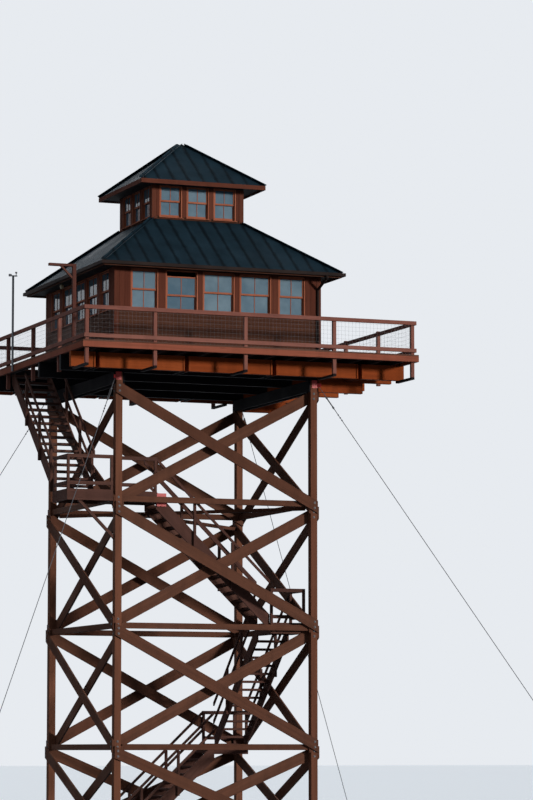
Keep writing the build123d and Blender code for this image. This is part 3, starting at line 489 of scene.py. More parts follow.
@dataclass(frozen=True)
class GalvanisedFinish(Coating):
    """Zinc-coated steel with a dull spangle.

    Attributes:
        roughness: Roughness of the surface.
    """

    roughness: float = 0.48

    def wire(self, wires: Wiring) -> None:
        """Spangle, and grey patches over it.

        Args:
            wires: The material's wiring.
        """
        place = wires.place()
        spangle = wires.span(wires.cells(place, 45.0), 0.1, 0.8)
        patch = wires.span(wires.noise(place, 3.0, 4.0), 0.35, 0.65)
        colour = wires.coats(self.colour, (spangle, 0.5, self.worn_and_reflected_sky), (patch, 0.5, self.worn_and_reflected_sky))
        rough = wires.span(spangle, 0.0, 1.0, self.roughness - 0.1, self.roughness + 0.15)
        wires.shader(base_color=colour, roughness=rough, metallic=0.3)


class ConcreteFinish(Coating):
    """Cast concrete with pores, and damp near the ground."""

    def wire(self, wires: Wiring) -> None:
        """The damp rises unevenly from the ground, and lies on the face in clouds.

        Args:
            wires: The material's wiring.
        """
        place = wires.place()
        cloud = wires.noise(place, 2.2, 6.0, 0.62)
        pores = wires.span(wires.cells(place, 60.0), 0.0, 0.18, 1.0, 0.0)
        rise = wires.sum("ADD", wires.part(place, "Z"), wires.sum("MULTIPLY", cloud, 0.25))
        colour = wires.mix(wires.span(rise, 0.12, 0.42, 0.8, 0.0), self.colour, self.worn_and_reflected_sky)
        colour = wires.mix(wires.span(cloud, 0.45, 0.75, 0.0, 0.5), colour, self.worn_and_reflected_sky)
        height = wires.sum("SUBTRACT", cloud, wires.sum("MULTIPLY", pores, 0.5))
        wires.shader(base_color=colour, roughness=0.86, normal=wires.bump(height, 0.006))


@dataclass(frozen=True)
class PaintFinish(Coating):
    """Plain paint on a small fitting.

    Attributes:
        roughness: Roughness of the paint.
        metallic: How metallic the surface is.
    """

    roughness: float = 0.5
    metallic: float = 0.0

    def wire(self, wires: Wiring) -> None:
        """Faint wear in small patches.

        Args:
            wires: The material's wiring.
        """
        patches = wires.span(wires.noise(wires.place(), 9.0, 6.0, 0.7), 0.52, 0.72)
        colour = wires.coats(self.colour, (patches, 0.6, self.worn_and_reflected_sky))
        rough = wires.span(patches, 0.0, 1.0, self.roughness, self.roughness + 0.2)
        wires.shader(base_color=colour, roughness=rough, metallic=self.metallic)


@dataclass(frozen=True)
class GlassFinish(Coating):
    """Window glass.

    Attributes:
        clear: How much light it lets through.
    """

    clear: float

    def wire(self, wires: Wiring) -> None:
        """Each pane shows a painted reflection of the sky in its own tone, between the two colours, and with
        faint clouds.

        Args:
            wires: The material's wiring.
        """
        place = wires.place()
        # Painted reflection: a tone for each pane with faint clouds over it.
        pane = wires.sum("MULTIPLY", wires.attribute("board", "Fac"), 0.5)
        cloud = wires.span(wires.noise(place, 1.6, 3.0, 0.6), 0.42, 0.68)
        painted_sky = wires.sum("ADD", pane, wires.sum("MULTIPLY", cloud, 0.4))
        ripple = wires.noise(place, 1.3, 2.0, 0.4)
        wires.shader(base_color=wires.mix(painted_sky, self.colour, self.worn_and_reflected_sky), roughness=0.04, ior=1.5,
                     transmission_weight=self.clear, normal=wires.bump(ripple, 0.004, 0.4))


class Finish(Enum):
    """The finishes of the tower."""

    LEG = TimberFinish("leg_stain", linear(110, 68, 52), linear(128, 86, 67), linear(60, 39, 31))
    BRACE = TimberFinish("brace_stain", linear(92, 58, 45), linear(110, 74, 59), linear(52, 35, 29))
    STAIR = TimberFinish("stair_stain", linear(84, 56, 50), linear(104, 74, 65), linear(44, 30, 27), 1.4)
    # The header's orange is its stain brightened with painted light from the low sun, and the middle part
    # under the deck gets painted shade.
    DECK = TimberFinish("header_stain_and_painted_light", linear(138, 62, 28), linear(156, 82, 44), linear(80, 36, 16), 1.2,
                        painted_shade_part=(2.9, 3.4))
    # Painted shade: the deck's framing, the cab floor and the soffits are made near black because they stand
    # in shade.
    FRAMING = TimberFinish("under_deck_painted_shade", linear(30, 26, 27), linear(42, 36, 36), linear(18, 16, 17),
                           1.2)
    BOARDWALK = TimberFinish("deck_boards", linear(98, 62, 50), linear(126, 94, 80), linear(54, 34, 28), 1.3)
    RIM = TimberFinish("rim_stain", linear(144, 80, 62), linear(162, 100, 82), linear(88, 49, 38), 1.3)
    RAIL = TimberFinish("rail_stain", linear(132, 84, 74), linear(154, 106, 94), linear(82, 53, 49), 1.8)
    HOIST = TimberFinish("hoist_stain", linear(92, 55, 48), linear(108, 72, 62), linear(52, 33, 30), 1.6)
    SIDING = TimberFinish("cab_boards", linear(78, 48, 37), linear(92, 61, 48), linear(46, 29, 23), 1.6)
    MULLION = TimberFinish("upright_boards", linear(94, 50, 38), linear(110, 65, 51), linear(56, 31, 25),
                           1.8)
    TRIM = TimberFinish("trim_stain", linear(160, 92, 68), linear(178, 112, 88), linear(104, 60, 46), 2.4,
                        0.6, 0.0015)
    ROOF = SheetMetalFinish("roof_paint", linear(18, 33, 42), linear(28, 46, 57), 0.7, 0.42)
    GUTTER = SheetMetalFinish("gutter_paint", linear(32, 25, 24), linear(46, 36, 34), 0.6)
    CONCRETE = ConcreteFinish("pier_concrete", linear(150, 145, 139), linear(104, 99, 93))
    GALVANISED = GalvanisedFinish("galvanised_steel", linear(104, 106, 112), linear(72, 74, 79))
    STEEL = PaintFinish("dull_steel", linear(74, 72, 76), linear(58, 52, 50), 0.6, 0.2)
    RED = PaintFinish("red_enamel", linear(166, 34, 36), linear(120, 32, 32))
    MAST = PaintFinish("mast_paint", linear(92, 94, 98), linear(70, 72, 76), 0.45, 0.3)
    LAMP = PaintFinish("lamp_enamel", linear(150, 140, 112), linear(110, 102, 84), 0.4)
    # Both colours of the glass are a painted reflection of the sky.
    GLASS = GlassFinish("sheet_glass", linear(70, 104, 126), linear(124, 150, 166), 0.3)

    def material(self) -> bpy.types.Material:
        """The material of this finish, built at its first use."""
        made = bpy.data.materials.get(self.value.name)
        return made if made else self.value.make()


def new_object(name: str, data: bpy.types.ID) -> bpy.types.Object:
    """Adds an object to the scene.

    Args:
        name: The object's name.
        data: Its mesh, lamp or camera.

    Returns:
        The object.
    """
    thing = bpy.data.objects.new(name, data)
    bpy.context.scene.collection.objects.link(thing)
    return thing


def set_attribute(mesh: bpy.types.Mesh, name: str, kind: str, values: np.ndarray) -> None:
    """Writes one value for each vertex into a named attribute of a mesh."""
    field = "vector" if kind == "FLOAT_VECTOR" else "value"
    mesh.attributes.new(name, kind, "POINT").data.foreach_set(field, values.astype(np.float32).ravel())


def show_finish(thing: bpy.types.Object, finish: Finish, slot: str) -> None:
    """Gives a piece its material.

    Args:
        thing: The piece.
        finish: The finish to show.
        slot: The record's slot; not used.
    """
    thing.data.materials.clear()
    thing.data.materials.append(finish.material())


def new_piece(mesh: bpy.types.Mesh, finish: Finish, slot: str, ease: float = 0.0,
              stands_for: str = "") -> None:
    """Makes a mesh a finished piece that is fixed to the tower.

    Args:
        mesh: The mesh, which gives the piece its name.
        finish: The finish to show.
        slot: The record's slot.
        ease: Width of the eased edges, or nothing.
        stands_for: The CAD node that it replaces, if any.
    """
    piece = new_object(mesh.name, mesh)
    if ease:
        bevel = piece.modifiers.new("eased_edges", "BEVEL")
        bevel.width = ease
        bevel.segments = 1
        bevel.limit_method = "ANGLE"
        bevel.angle_limit = EASED_ANGLE
    show_finish(piece, finish, slot)
    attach(piece, "root")
    if stands_for:
        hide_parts(stands_for)
    LOG.info("built %s", mesh.name)


def mesh_arrays(mesh: bpy.types.Mesh) -> tuple[np.ndarray, np.ndarray]:
    """Reads a mesh.

    Args:
        mesh: The mesh.

    Returns:
        The places of its vertices, and the vertex pairs of its edges.
    """
    points = np.empty(len(mesh.vertices) * 3)
    mesh.vertices.foreach_get("co", points)
    edges = np.empty(len(mesh.edges) * 2, dtype=np.int64)
    mesh.edges.foreach_get("vertices", edges)
    return points.reshape(-1, 3), edges.reshape(-1, 2)


def solids_of(count: int, edges: np.ndarray) -> np.ndarray:
    """Numbers the solids of a mesh: each vertex takes the lowest number met along its edges.

    Args:
        count: How many vertices there are.
        edges: The vertex pairs of the edges.

    Returns:
        The number of the solid that each vertex belongs to, from 0 up.
    """
    label = np.arange(count)
    while True:
        low = label[edges].min(axis=1)
        new = label.copy()
        np.minimum.at(new, edges[:, 0], low)
        np.minimum.at(new, edges[:, 1], low)
        new = new[new]
        if np.array_equal(new, label):
            return np.unique(label, return_inverse=True)[1]
        label = new


def board_axes(points: np.ndarray, edges: np.ndarray, label: np.ndarray) -> np.ndarray:
    """The three directions of each solid: its longest edge, and two square to it.

    Args:
        points: Vertex places.
        edges: Vertex pairs of the edges.
        label: The solid of each vertex.

    Returns:
        One 3 by 3 array for each solid, its rows along, across and through the board.
    """
    run = points[edges[:, 1]] - points[edges[:, 0]]
    length = np.linalg.norm(run, axis=1)
    owner = label[edges[:, 0]]
    order = np.lexsort((length, owner))
    last = np.append(owner[order][1:] != owner[order][:-1], True)
    along = run[order][last] / length[order][last][:, None]
    up = np.where(np.abs(along[:, 2:3]) > 0.9, [X], [Z])
    across = np.cross(up, along)
    across /= np.linalg.norm(across, axis=1)[:, None]
    return np.stack([along, across, np.cross(along, across)], axis=1)


def each_side(stem: str) -> tuple[str, ...]:
    """The four nodes of a kind, one for each side of the tower."""
    return tuple(f"{stem}_{side}" for side in SIDES)


@dataclass(frozen=True)
class CarriedNodes:
    """CAD nodes that share a finish, as boards where their edges are eased, and otherwise as they are.

    Attributes:
        finish: The finish to show.
        slot: The record's slot.
        nodes: The nodes' names.
        ease: Width of the eased edges, or nothing.
        merge: Vertices nearer than this are one.
        flat: Faces that turn by less than this angle are one.
    """

    finish: Finish
    slot: str
    nodes: tuple[str, ...]
    ease: float = 0.0
    merge: float = 1e-5
    flat: float = 0.01

    def boards(self, name: str, node: bpy.types.Object) -> None:
        """Copies a node as boards with eased edges.

        The grain coordinate of a vertex is its place measured along, across and through its own board,
        moved by a chance amount for each board.

        Args:
            name: The node's name.
            node: The node.
        """
        shape = bmesh.new()
        shape.from_mesh(node.data)
        bmesh.ops.remove_doubles(shape, verts=shape.verts, dist=self.merge)
        bmesh.ops.dissolve_limit(shape, angle_limit=self.flat, verts=shape.verts, edges=shape.edges)
        mesh = bpy.data.meshes.new(f"{name}_boards")
        shape.to_mesh(mesh)
        shape.free()
        points, edges = mesh_arrays(mesh)
        label = solids_of(len(points), edges)
        axes = board_axes(points, edges, label)
        chance = np.random.default_rng(sum(map(ord, name))).random((len(axes), 4))
        grain = np.einsum("nij,nj->ni", axes[label], points) + chance[label, :3] * GRAIN_SHIFT
        set_attribute(mesh, "grain", "FLOAT_VECTOR", grain)
        set_attribute(mesh, "board", "FLOAT", chance[label, 3])
        new_piece(mesh, self.finish, self.slot, self.ease, name)

    def build(self, nodes: dict[str, bpy.types.Object]) -> None:
        """Dresses every node of the group.

        Args:
            nodes: All nodes of the frame by name.
        """
        for name in self.nodes:
            if self.ease:
                self.boards(name, nodes[name])
            else:
                show_finish(nodes[name], self.finish, self.slot)
                LOG.info("finish of %s", name)


CARRIED = (
    CarriedNodes(Finish.LEG, "leg_timber", ("legs",), 0.008),
    CarriedNodes(Finish.BRACE, "brace_timber", ("girts", "plan_braces"), 0.006),
    CarriedNodes(Finish.BRACE, "brace_timber", each_side("braces"), 0.005),
    CarriedNodes(Finish.STAIR, "stair_timber", ("stair_treads",), 0.005),
    CarriedNodes(Finish.STAIR, "stair_timber", ("stair_rails", "stair_stringers", "landing_1", "landing_2",
                                                "landing_3", "landing_rails", "landing_knee"), 0.004),
    CarriedNodes(Finish.DECK, "deck_timber", ("deck_girders",), 0.005),
    CarriedNodes(Finish.DECK, "deck_timber", ("deck_beams",), 0.006),
    CarriedNodes(Finish.DECK, "deck_timber", ("deck_outriggers",), 0.004),
    CarriedNodes(Finish.FRAMING, "deck_timber", ("deck_joists", "stairwell_frame", "rail_ties"), 0.004),
    CarriedNodes(Finish.FRAMING, "deck_timber", ("cab_floor",), 0.003),
    CarriedNodes(Finish.FRAMING, "siding", ("eave_soffit", "cupola_soffit"), 0.003),
    CarriedNodes(Finish.RIM, "deck_timber", ("deck_rim",), 0.005),
    CarriedNodes(Finish.RAIL, "rail_timber", each_side("railing"), 0.005),
    CarriedNodes(Finish.HOIST, "rail_timber", ("hoist_post",), 0.005),
    CarriedNodes(Finish.SIDING, "siding", (*each_side("cab_wall"), "cupola_walls"), 0.003),
    CarriedNodes(Finish.SIDING, "siding", ("eave_fascia",), 0.004),
    CarriedNodes(Finish.MULLION, "window_trim", ("cupola_fascia",), 0.004),
    CarriedNodes(Finish.CONCRETE, "concrete", ("concrete_piers", "guy_anchors")),
    CarriedNodes(Finish.RED, "red_paint", ("guy_brackets", "landing_box")),
    CarriedNodes(Finish.ROOF, "roof_metal", ("main_roof", "cupola_roof")),
    CarriedNodes(Finish.GUTTER, "gutter_metal", ("gutter", "downspout")),
    CarriedNodes(Finish.MAST, "mast_metal", ("weather_mast",)),
    CarriedNodes(Finish.LAMP, "lamp_shell", ("eave_lamp",)),
)


def plank(low: Pair, high: Pair) -> np.ndarray:
    """A four-sided outline from its lowest to its highest corner, anticlockwise."""
    return np.array([low, (high[0], low[1]), high, (low[0], high[1])])


def both_sides(inner: float, outer: float) -> tuple[Pair, Pair]:
    """The same stretch to the left and to the right of the middle."""
    return (-outer, -inner), (inner, outer)


def disc(sides: int) -> np.ndarray:
    """A regular outline of radius 1: the cosine and sine of even steps round the circle."""
    around = np.linspace(0.0, 2 * pi, sides + 1)[:-1]
    return np.column_stack([np.cos(around), np.sin(around)])


def quarter_turn(quarter: int) -> np.ndarray:
    """The matrix that turns the front of the tower to another side, by quarter turns."""
    c, s = np.cos(quarter * pi / 2), np.sin(quarter * pi / 2)
    return np.round([[c, -s, 0.0], [s, c, 0.0], [0.0, 0.0, 1.0]])


@dataclass(frozen=True)
class Sun:
    """A soft lamp far away.

    Attributes:
        name: The lamp's name.
        azimuth: Where it stands, in degrees round from -Y towards +X.
        elevation: How high it stands, in degrees.
        strength: Its strength.
        colour: Its colour.
        soft: Width of the lamp as seen from the tower, in degrees.
    """

    name: str
    azimuth: float
    elevation: float
    strength: float
    colour: Colour
    soft: float

    def build(self) -> None:
        """Adds the lamp."""
        data = bpy.data.lights.new(self.name, "SUN")
        data.energy = self.strength
        data.color = self.colour
        data.angle = radians(self.soft)
        lamp = new_object(self.name, data)
        lamp.rotation_euler = (radians(90.0 - self.elevation), 0.0, radians(self.azimuth))


@dataclass
class Studio:
    """The camera, lights and floor.

    Attributes:
        place: The camera's place.
        turn: Its turn about the upright in degrees.
        tilt: Its tilt up from level in degrees.
        focal_pixels: Focal length in pixels of the 533 by 800 photograph.
        height_pixels: Height of the photograph in pixels.
        pale: Colour of the background.
        sky: Colour of the even light on the tower.
        sky_strength: Strength of that light.
        floor_colour: Colour of the floor under light.
        floor_reach: Half the floor's width.
        floor_glow: How brightly the floor shows of itself.
        suns: The lamps.
    """

    place: Point = (-30.6207, -83.7337, 3.0206)
    turn: float = -21.5853
    tilt: float = 6.0866
    focal_pixels: float = 3300.23
    height_pixels: float = 800.0
    pale: Colour = (0.80, 0.83, 0.87)
    sky: Colour = (0.80, 0.91, 1.0)
    sky_strength: float = 0.23
    floor_colour: Colour = (0.10, 0.10, 0.10)
    floor_reach: float = 600.0
    floor_glow: float = 0.24
    suns: tuple[Sun, ...] = (Sun("key", 32.0, 8.0, 2.95, (1.0, 0.95, 0.88), 7.0),
                             Sun("back", 168.0, 32.0, 0.9, (0.92, 0.96, 1.0), 30.0),
                             Sun("fill", -48.0, 34.0, 0.16, (0.72, 0.86, 1.0), 40.0))

    def camera(self) -> None:
        """Adds the camera at the photograph's place and angle."""
        data = bpy.data.cameras.new("photo_view")
        data.sensor_fit = "VERTICAL"
        data.sensor_height = 24.0
        data.lens = self.focal_pixels / self.height_pixels * data.sensor_height
        data.clip_start = 0.5
        data.clip_end = 2000.0
        camera = new_object("photo_view", data)
        camera.location = self.place
        camera.rotation_euler = (radians(90.0 + self.tilt), 0.0, radians(self.turn))
        bpy.context.scene.camera = camera

    def world(self) -> None:
        """A pale background to eyes, gloss and glass, and a weaker even light on the tower."""
        world = bpy.data.worlds.new("studio")
        bpy.context.scene.world = world
        world.use_nodes = True
        world.node_tree.nodes.clear()
        wires = Wiring(world.node_tree)
        seen = wires.seen()
        light = {"Color": wires.mix(seen, self.sky, self.pale),
                 "Strength": wires.span(seen, 0.0, 1.0, self.sky_strength, 1.0)}
        surface = wires.add("ShaderNodeBackground", light).outputs[0]
        wires.add("ShaderNodeOutputWorld", {"Surface": surface})

    def floor(self) -> None:
        """A wide level floor that looks pale but throws little light up."""
        mesh = bpy.data.meshes.new("studio_floor")
        square = plank((-self.floor_reach, -self.floor_reach), (self.floor_reach, self.floor_reach))
        mesh.from_pydata(np.column_stack([square, np.zeros(4)]), [], [(0, 1, 2, 3)])
        material, wires = new_material("studio_floor")
        seen = wires.seen()
        glow = wires.span(seen, 0.0, 1.0, 0.0, self.floor_glow)
        wires.shader(base_color=wires.mix(seen, self.floor_colour, self.pale), roughness=0.9,
                     emission_color=self.pale, emission_strength=glow)
        mesh.materials.append(material)
        new_object("studio_floor", mesh)

    def build(self) -> None:
        """Sets up the whole studio."""
        self.camera()
        self.world()
        self.floor()
        for sun in self.suns:
            sun.build()
        bpy.context.scene.view_settings.view_transform = "Standard"


class Boards:
    """Collects straight pieces, each an outline carried from one end to the other, as one mesh with grain.

    A point of a piece is its end, plus the outline's first number times the side direction, plus the second
    times the direction square to it. A lean slides each point along the piece, for mitred and plumb cuts.
    """

    def __init__(self, name: str) -> None:
        """Starts an empty pile whose chance values follow from its name.

        Args:
            name: The name of the pile and of the piece that it becomes.
        """
        self.name = name
        self.chance = np.random.default_rng(sum(map(ord, name)))
        self.turn = np.eye(3)
        self.points: list[np.ndarray] = []
        self.grain: list[np.ndarray] = []
        self.tone: list[np.ndarray] = []
        self.faces: list[list[int]] = []
        self.count = 0

    def sides(self) -> Iterator[int]:
        """Goes round the four sides of the tower; what is added meanwhile goes on the side reached.

        Yields:
            Each side, by quarter turns from the front.
        """
        for quarter in range(4):
            self.turn = quarter_turn(quarter)
            yield quarter

    def add(self, start: Point, end: Point, side: Point, outline: np.ndarray, lean: Pair = (0.0, 0.0),
            lean_end: Pair = (0.0, 0.0)) -> None:
        """Adds one piece.

        Args:
            start: Where the outline's own zero starts.
            end: Where it ends.
            side: The direction of the outline's first number.
            outline: Corners across the piece, anticlockwise as seen from the end.
            lean: How far a point slides along at the start, for each metre of the outline's two numbers.
            lean_end: The same at the end.
        """
        first, last, beside = (self.turn @ np.asarray(v, dtype=float) for v in (start, end, side))
        along = last - first
        length = np.linalg.norm(along)
        along = along / length
        beside = beside - along * (beside @ along)
        beside = beside / np.linalg.norm(beside)
        ring = outline[:, :1] * beside + outline[:, 1:] * np.cross(along, beside)
        slides = outline @ np.asarray(lean), length + outline @ np.asarray(lean_end)
        moved = self.chance.random(4)
        for slide in slides:
            self.points.append(first + ring + slide[:, None] * along)
            self.grain.append(np.column_stack([slide, outline]) + moved[:3] * GRAIN_SHIFT)
        size, base = len(outline), self.count
        self.tone.append(np.full(2 * size, moved[3]))
        near = list(range(base, base + size))
        far = [i + size for i in near]
        self.faces += [near[::-1], far]
        self.faces += [list(sides) for sides in zip(near, near[1:] + near[:1], far[1:] + far[:1], far)]
        self.count += 2 * size

    def level(self, x: Pair, y: Pair, z: Pair) -> None:
        """Adds a level piece from left to right that takes up those three spans."""
        self.add((x[0], 0, 0), (x[1], 0, 0), Y, plank((y[0], z[0]), (y[1], z[1])))

    def upright(self, at: float, x: Pair, y: Pair, z: Pair) -> None:
        """Adds an upright piece that takes up those three spans, with x measured from at."""
        self.add((at, 0, z[0]), (at, 0, z[1]), X, plank((x[0], y[0]), (x[1], y[1])))

    def build(self, finish: Finish, slot: str, ease: float = 0.0, stands_for: str = "") -> None:
        """Makes the pile one finished piece.

        Args:
            finish: The finish to show.
            slot: The record's slot.
            ease: Width of the eased edges, or nothing.
            stands_for: The CAD node that it replaces, if any.
        """
        mesh = bpy.data.meshes.new(self.name)
        mesh.from_pydata(np.concatenate(self.points), [], self.faces)
        set_attribute(mesh, "grain", "FLOAT_VECTOR", np.concatenate(self.grain))
        set_attribute(mesh, "board", "FLOAT", np.concatenate(self.tone))
        new_piece(mesh, finish, slot, ease, stands_for)


@dataclass
class WindowRow:
    """One storey's windows, the same on each wall: double-hung, two panes over two.

    Attributes:
        name: What the pieces' names start with.
        half: Distance of the walls' outer faces from the middle.
        low: Height of the sills.
        high: Height of the heads.
        windows: Middle and width of each opening of a wall.
        nodes: The CAD nodes of the sashes and of the glass.
        door_at: The opening of the back wall that is a door instead, or none.
        lowered: How far the upper sash of the front's second window is let down.
        casing: Width of the jambs, and height of the head.
        stile: Width of a sash's stiles, and height of its top rail.
        bottom_rail: Height of its bottom rail.
        bar: Width of its upright bar.
        proud: How far the jambs stand out of the wall.
        jamb_depth: How far they go into it.
        sash_thick: Thickness of a sash.
        upper_back: How far the upper sash is set back from the wall's face.
        pane: Thickness of the glass.
        sill: Underside at the nose, underside at the wall, nose and top of the sill, from the opening's foot.
        sill_reach: How far the sill stands out of the jambs.
        sill_end: How far it goes past the opening at each end.
    """

    name: str
    half: float
    low: float
    high: float
    windows: list[Pair]
    nodes: tuple[str, str]
    door_at: int = -1
    lowered: float = 0.0
    casing: float = 0.034
    stile: float = 0.036
    bottom_rail: float = 0.05
    bar: float = 0.018
    proud: float = 0.014
    jamb_depth: float = 0.095
    sash_thick: float = 0.032
    upper_back: float = 0.022
    pane: float = 0.005
    sill: tuple[float, float, float, float] = (-0.012, -0.004, 0.008, 0.03)
    sill_reach: float = 0.045
    sill_end: float = 0.02

    def __post_init__(self) -> None:
        """Starts the piles for the timber and the glass."""
        self.wood, self.glass = Boards(f"{self.name}_sashes"), Boards(f"{self.name}_panes")

    def sash(self, x: float, half_wide: float, z: Pair, y: float) -> None:
        """Adds one sash: two stiles, two rails, an upright bar and its glass.

        Args:
            x: Middle of the sash.
            half_wide: Half its width.
            z: Its lowest and highest edge.
            y: Its outer face.
        """
        back = y + self.sash_thick
        half = self.stile / 2
        inner = half_wide - self.stile
        for middle in (x - inner - half, x + inner + half):
            self.wood.upright(middle, (-half, half), (y, back), z)
        across = (x - inner, x + inner)
        light = (z[0] + self.bottom_rail, z[1] - self.stile)
        self.wood.level(across, (y, back), (z[0], light[0]))
        self.wood.level(across, (y, back), (light[1], z[1]))
        half, thin = self.bar / 2, self.bar / 4
        self.wood.upright(x, (-half, half), (y + thin, back - thin), light)
        middle = (y + back) / 2
        self.glass.level(across, (middle - self.pane / 2, middle + self.pane / 2), light)

    def opening(self, x: float, wide: float, lowered: float) -> None:
        """Adds one window: jambs, head, sill and both sashes.

        Args:
            x: Middle of the opening.
            wide: Its width.
            lowered: How far the upper sash is let down.
        """
        face, edge = -self.half, wide / 2
        out, back = face - self.proud, face + self.jamb_depth
        for jamb in both_sides(edge - self.casing, edge):
            self.wood.upright(x, jamb, (out, back), (self.low, self.high))
        self.wood.level((x - edge, x + edge), (out, back), (self.high - self.casing, self.high))
        under_nose, under, nose, top = (self.low + rise for rise in self.sill)
        tip = out - self.sill_reach
        end = edge + self.sill_end
        section = np.array([(tip, under_nose), (back, under), (back, top), (tip, nose)])
        self.wood.add((x - end, 0, 0), (x + end, 0, 0), Y, section)
        inner = edge - self.casing
        high, meet = self.high - self.casing, (top + self.high - self.casing) / 2
        upper = (meet - self.stile / 2 - lowered, high - lowered)
        lower = (top, meet + self.stile / 2)
        self.sash(x, inner, upper, face + self.upper_back)
        self.sash(x, inner, lower, face + self.upper_back + self.sash_thick)

    def build(self) -> None:
        """Builds the windows of all four walls."""
        for quarter, _ in zip(self.wood.sides(), self.glass.sides()):
            for i, (x, wide) in enumerate(self.windows):
                if quarter == 2 and i == self.door_at:
                    continue
                self.opening(x, wide, self.lowered if quarter == 0 and i == 1 else 0.0)
        self.wood.build(Finish.TRIM, "window_trim", 0.002, self.nodes[0])
        self.glass.build(Finish.GLASS, "window_glass", 0.0, self.nodes[1])


@dataclass
class Cladding:
    """Boards on a storey's walls: laps below the sills, and uprights between the windows and at the corners.

    Attributes:
        row: The windows that the boards go round.
        base: Height of the walls' foot.
        top: Height of the soffit.
        door_half: Half the width that the door's casing takes at the back.
        exposure: How much of a lapped board shows.
        lap_thick: Thickness of its lower edge.
        lap_thin: Thickness of its upper edge.
        upright: Thickness of the upright boards.
        corner: How much of a wall the corner boards cover at each end.
        corner_proud: How much thicker they are than the upright boards.
        gap: Gap between two upright boards.
        batten: About the width of the boards between the outer windows and the corners.
    """

    row: WindowRow
    base: float
    top: float
    door_half: float = 0.0
    exposure: float = 0.118
    lap_thick: float = 0.018
    lap_thin: float = 0.006
    upright: float = 0.02
    corner: float = 0.11
    corner_proud: float = 0.004
    gap: float = 0.004
    batten: float = 0.145

    def spans(self, quarter: int) -> list[Pair]:
        """Stretches of a wall between its corner boards, without the door.

        Args:
            quarter: The wall, by quarter turns from the front.

        Returns:
            The left and right end of each stretch.
        """
        reach = self.row.half - self.corner
        if quarter == 2 and self.door_half:
            return [(-reach, -self.door_half), (self.door_half, reach)]
        return [(-reach, reach)]

    def laps(self) -> None:
        """Builds the lapped courses from the foot up to the sills."""
        pile = Boards(f"{self.row.name}_lap_boards")
        face = -self.row.half
        skirt = self.row.low + self.row.sill[0]
        count = max(1, round((skirt - self.base) / self.exposure))
        step = (skirt - self.base) / count
        for quarter in pile.sides():
            for x0, x1 in self.spans(quarter):
                for i in range(count):
                    z = self.base + i * step
                    course = np.array([(face - self.lap_thick, z), (face, z), (face, z + step),
                                       (face - self.lap_thin, z + step)])
                    pile.add((x0, 0, 0), (x1, 0, 0), Y, course)
        pile.build(Finish.SIDING, "siding")

    def uprights(self) -> None:
        """Builds the boards between the windows, the boards out to the corners, and the corner boards."""
        pile = Boards(f"{self.row.name}_upright_boards")
        face, reach = -self.row.half, self.row.half - self.corner
        edges = [(x - wide / 2, x + wide / 2) for x, wide in self.row.windows]
        gaps = [(a[1], b[0]) for a, b in zip(edges, edges[1:])]
        for x0, x1 in ((-reach, edges[0][0]), (edges[-1][1], reach)):
            cuts = np.linspace(x0, x1, max(1, round((x1 - x0) / self.batten)) + 1)
            gaps += zip(cuts[:-1], cuts[1:])
        corner = self.upright + self.corner_proud
        for _ in pile.sides():
            for x0, x1 in gaps:
                pile.upright(0, (x0 + self.gap / 2, x1 - self.gap / 2), (face - self.upright, face),
                             (self.row.low + self.row.sill[3], self.top))
            for x in ((reach + self.gap, self.row.half + corner), (face, face + self.corner - self.gap)):
                pile.upright(0, x, (face - corner, face), (self.base, self.top))
        pile.build(Finish.MULLION, "siding", 0.002)

    def build(self) -> None:
        """Builds both kinds of boards."""
        self.laps()
        self.uprights()


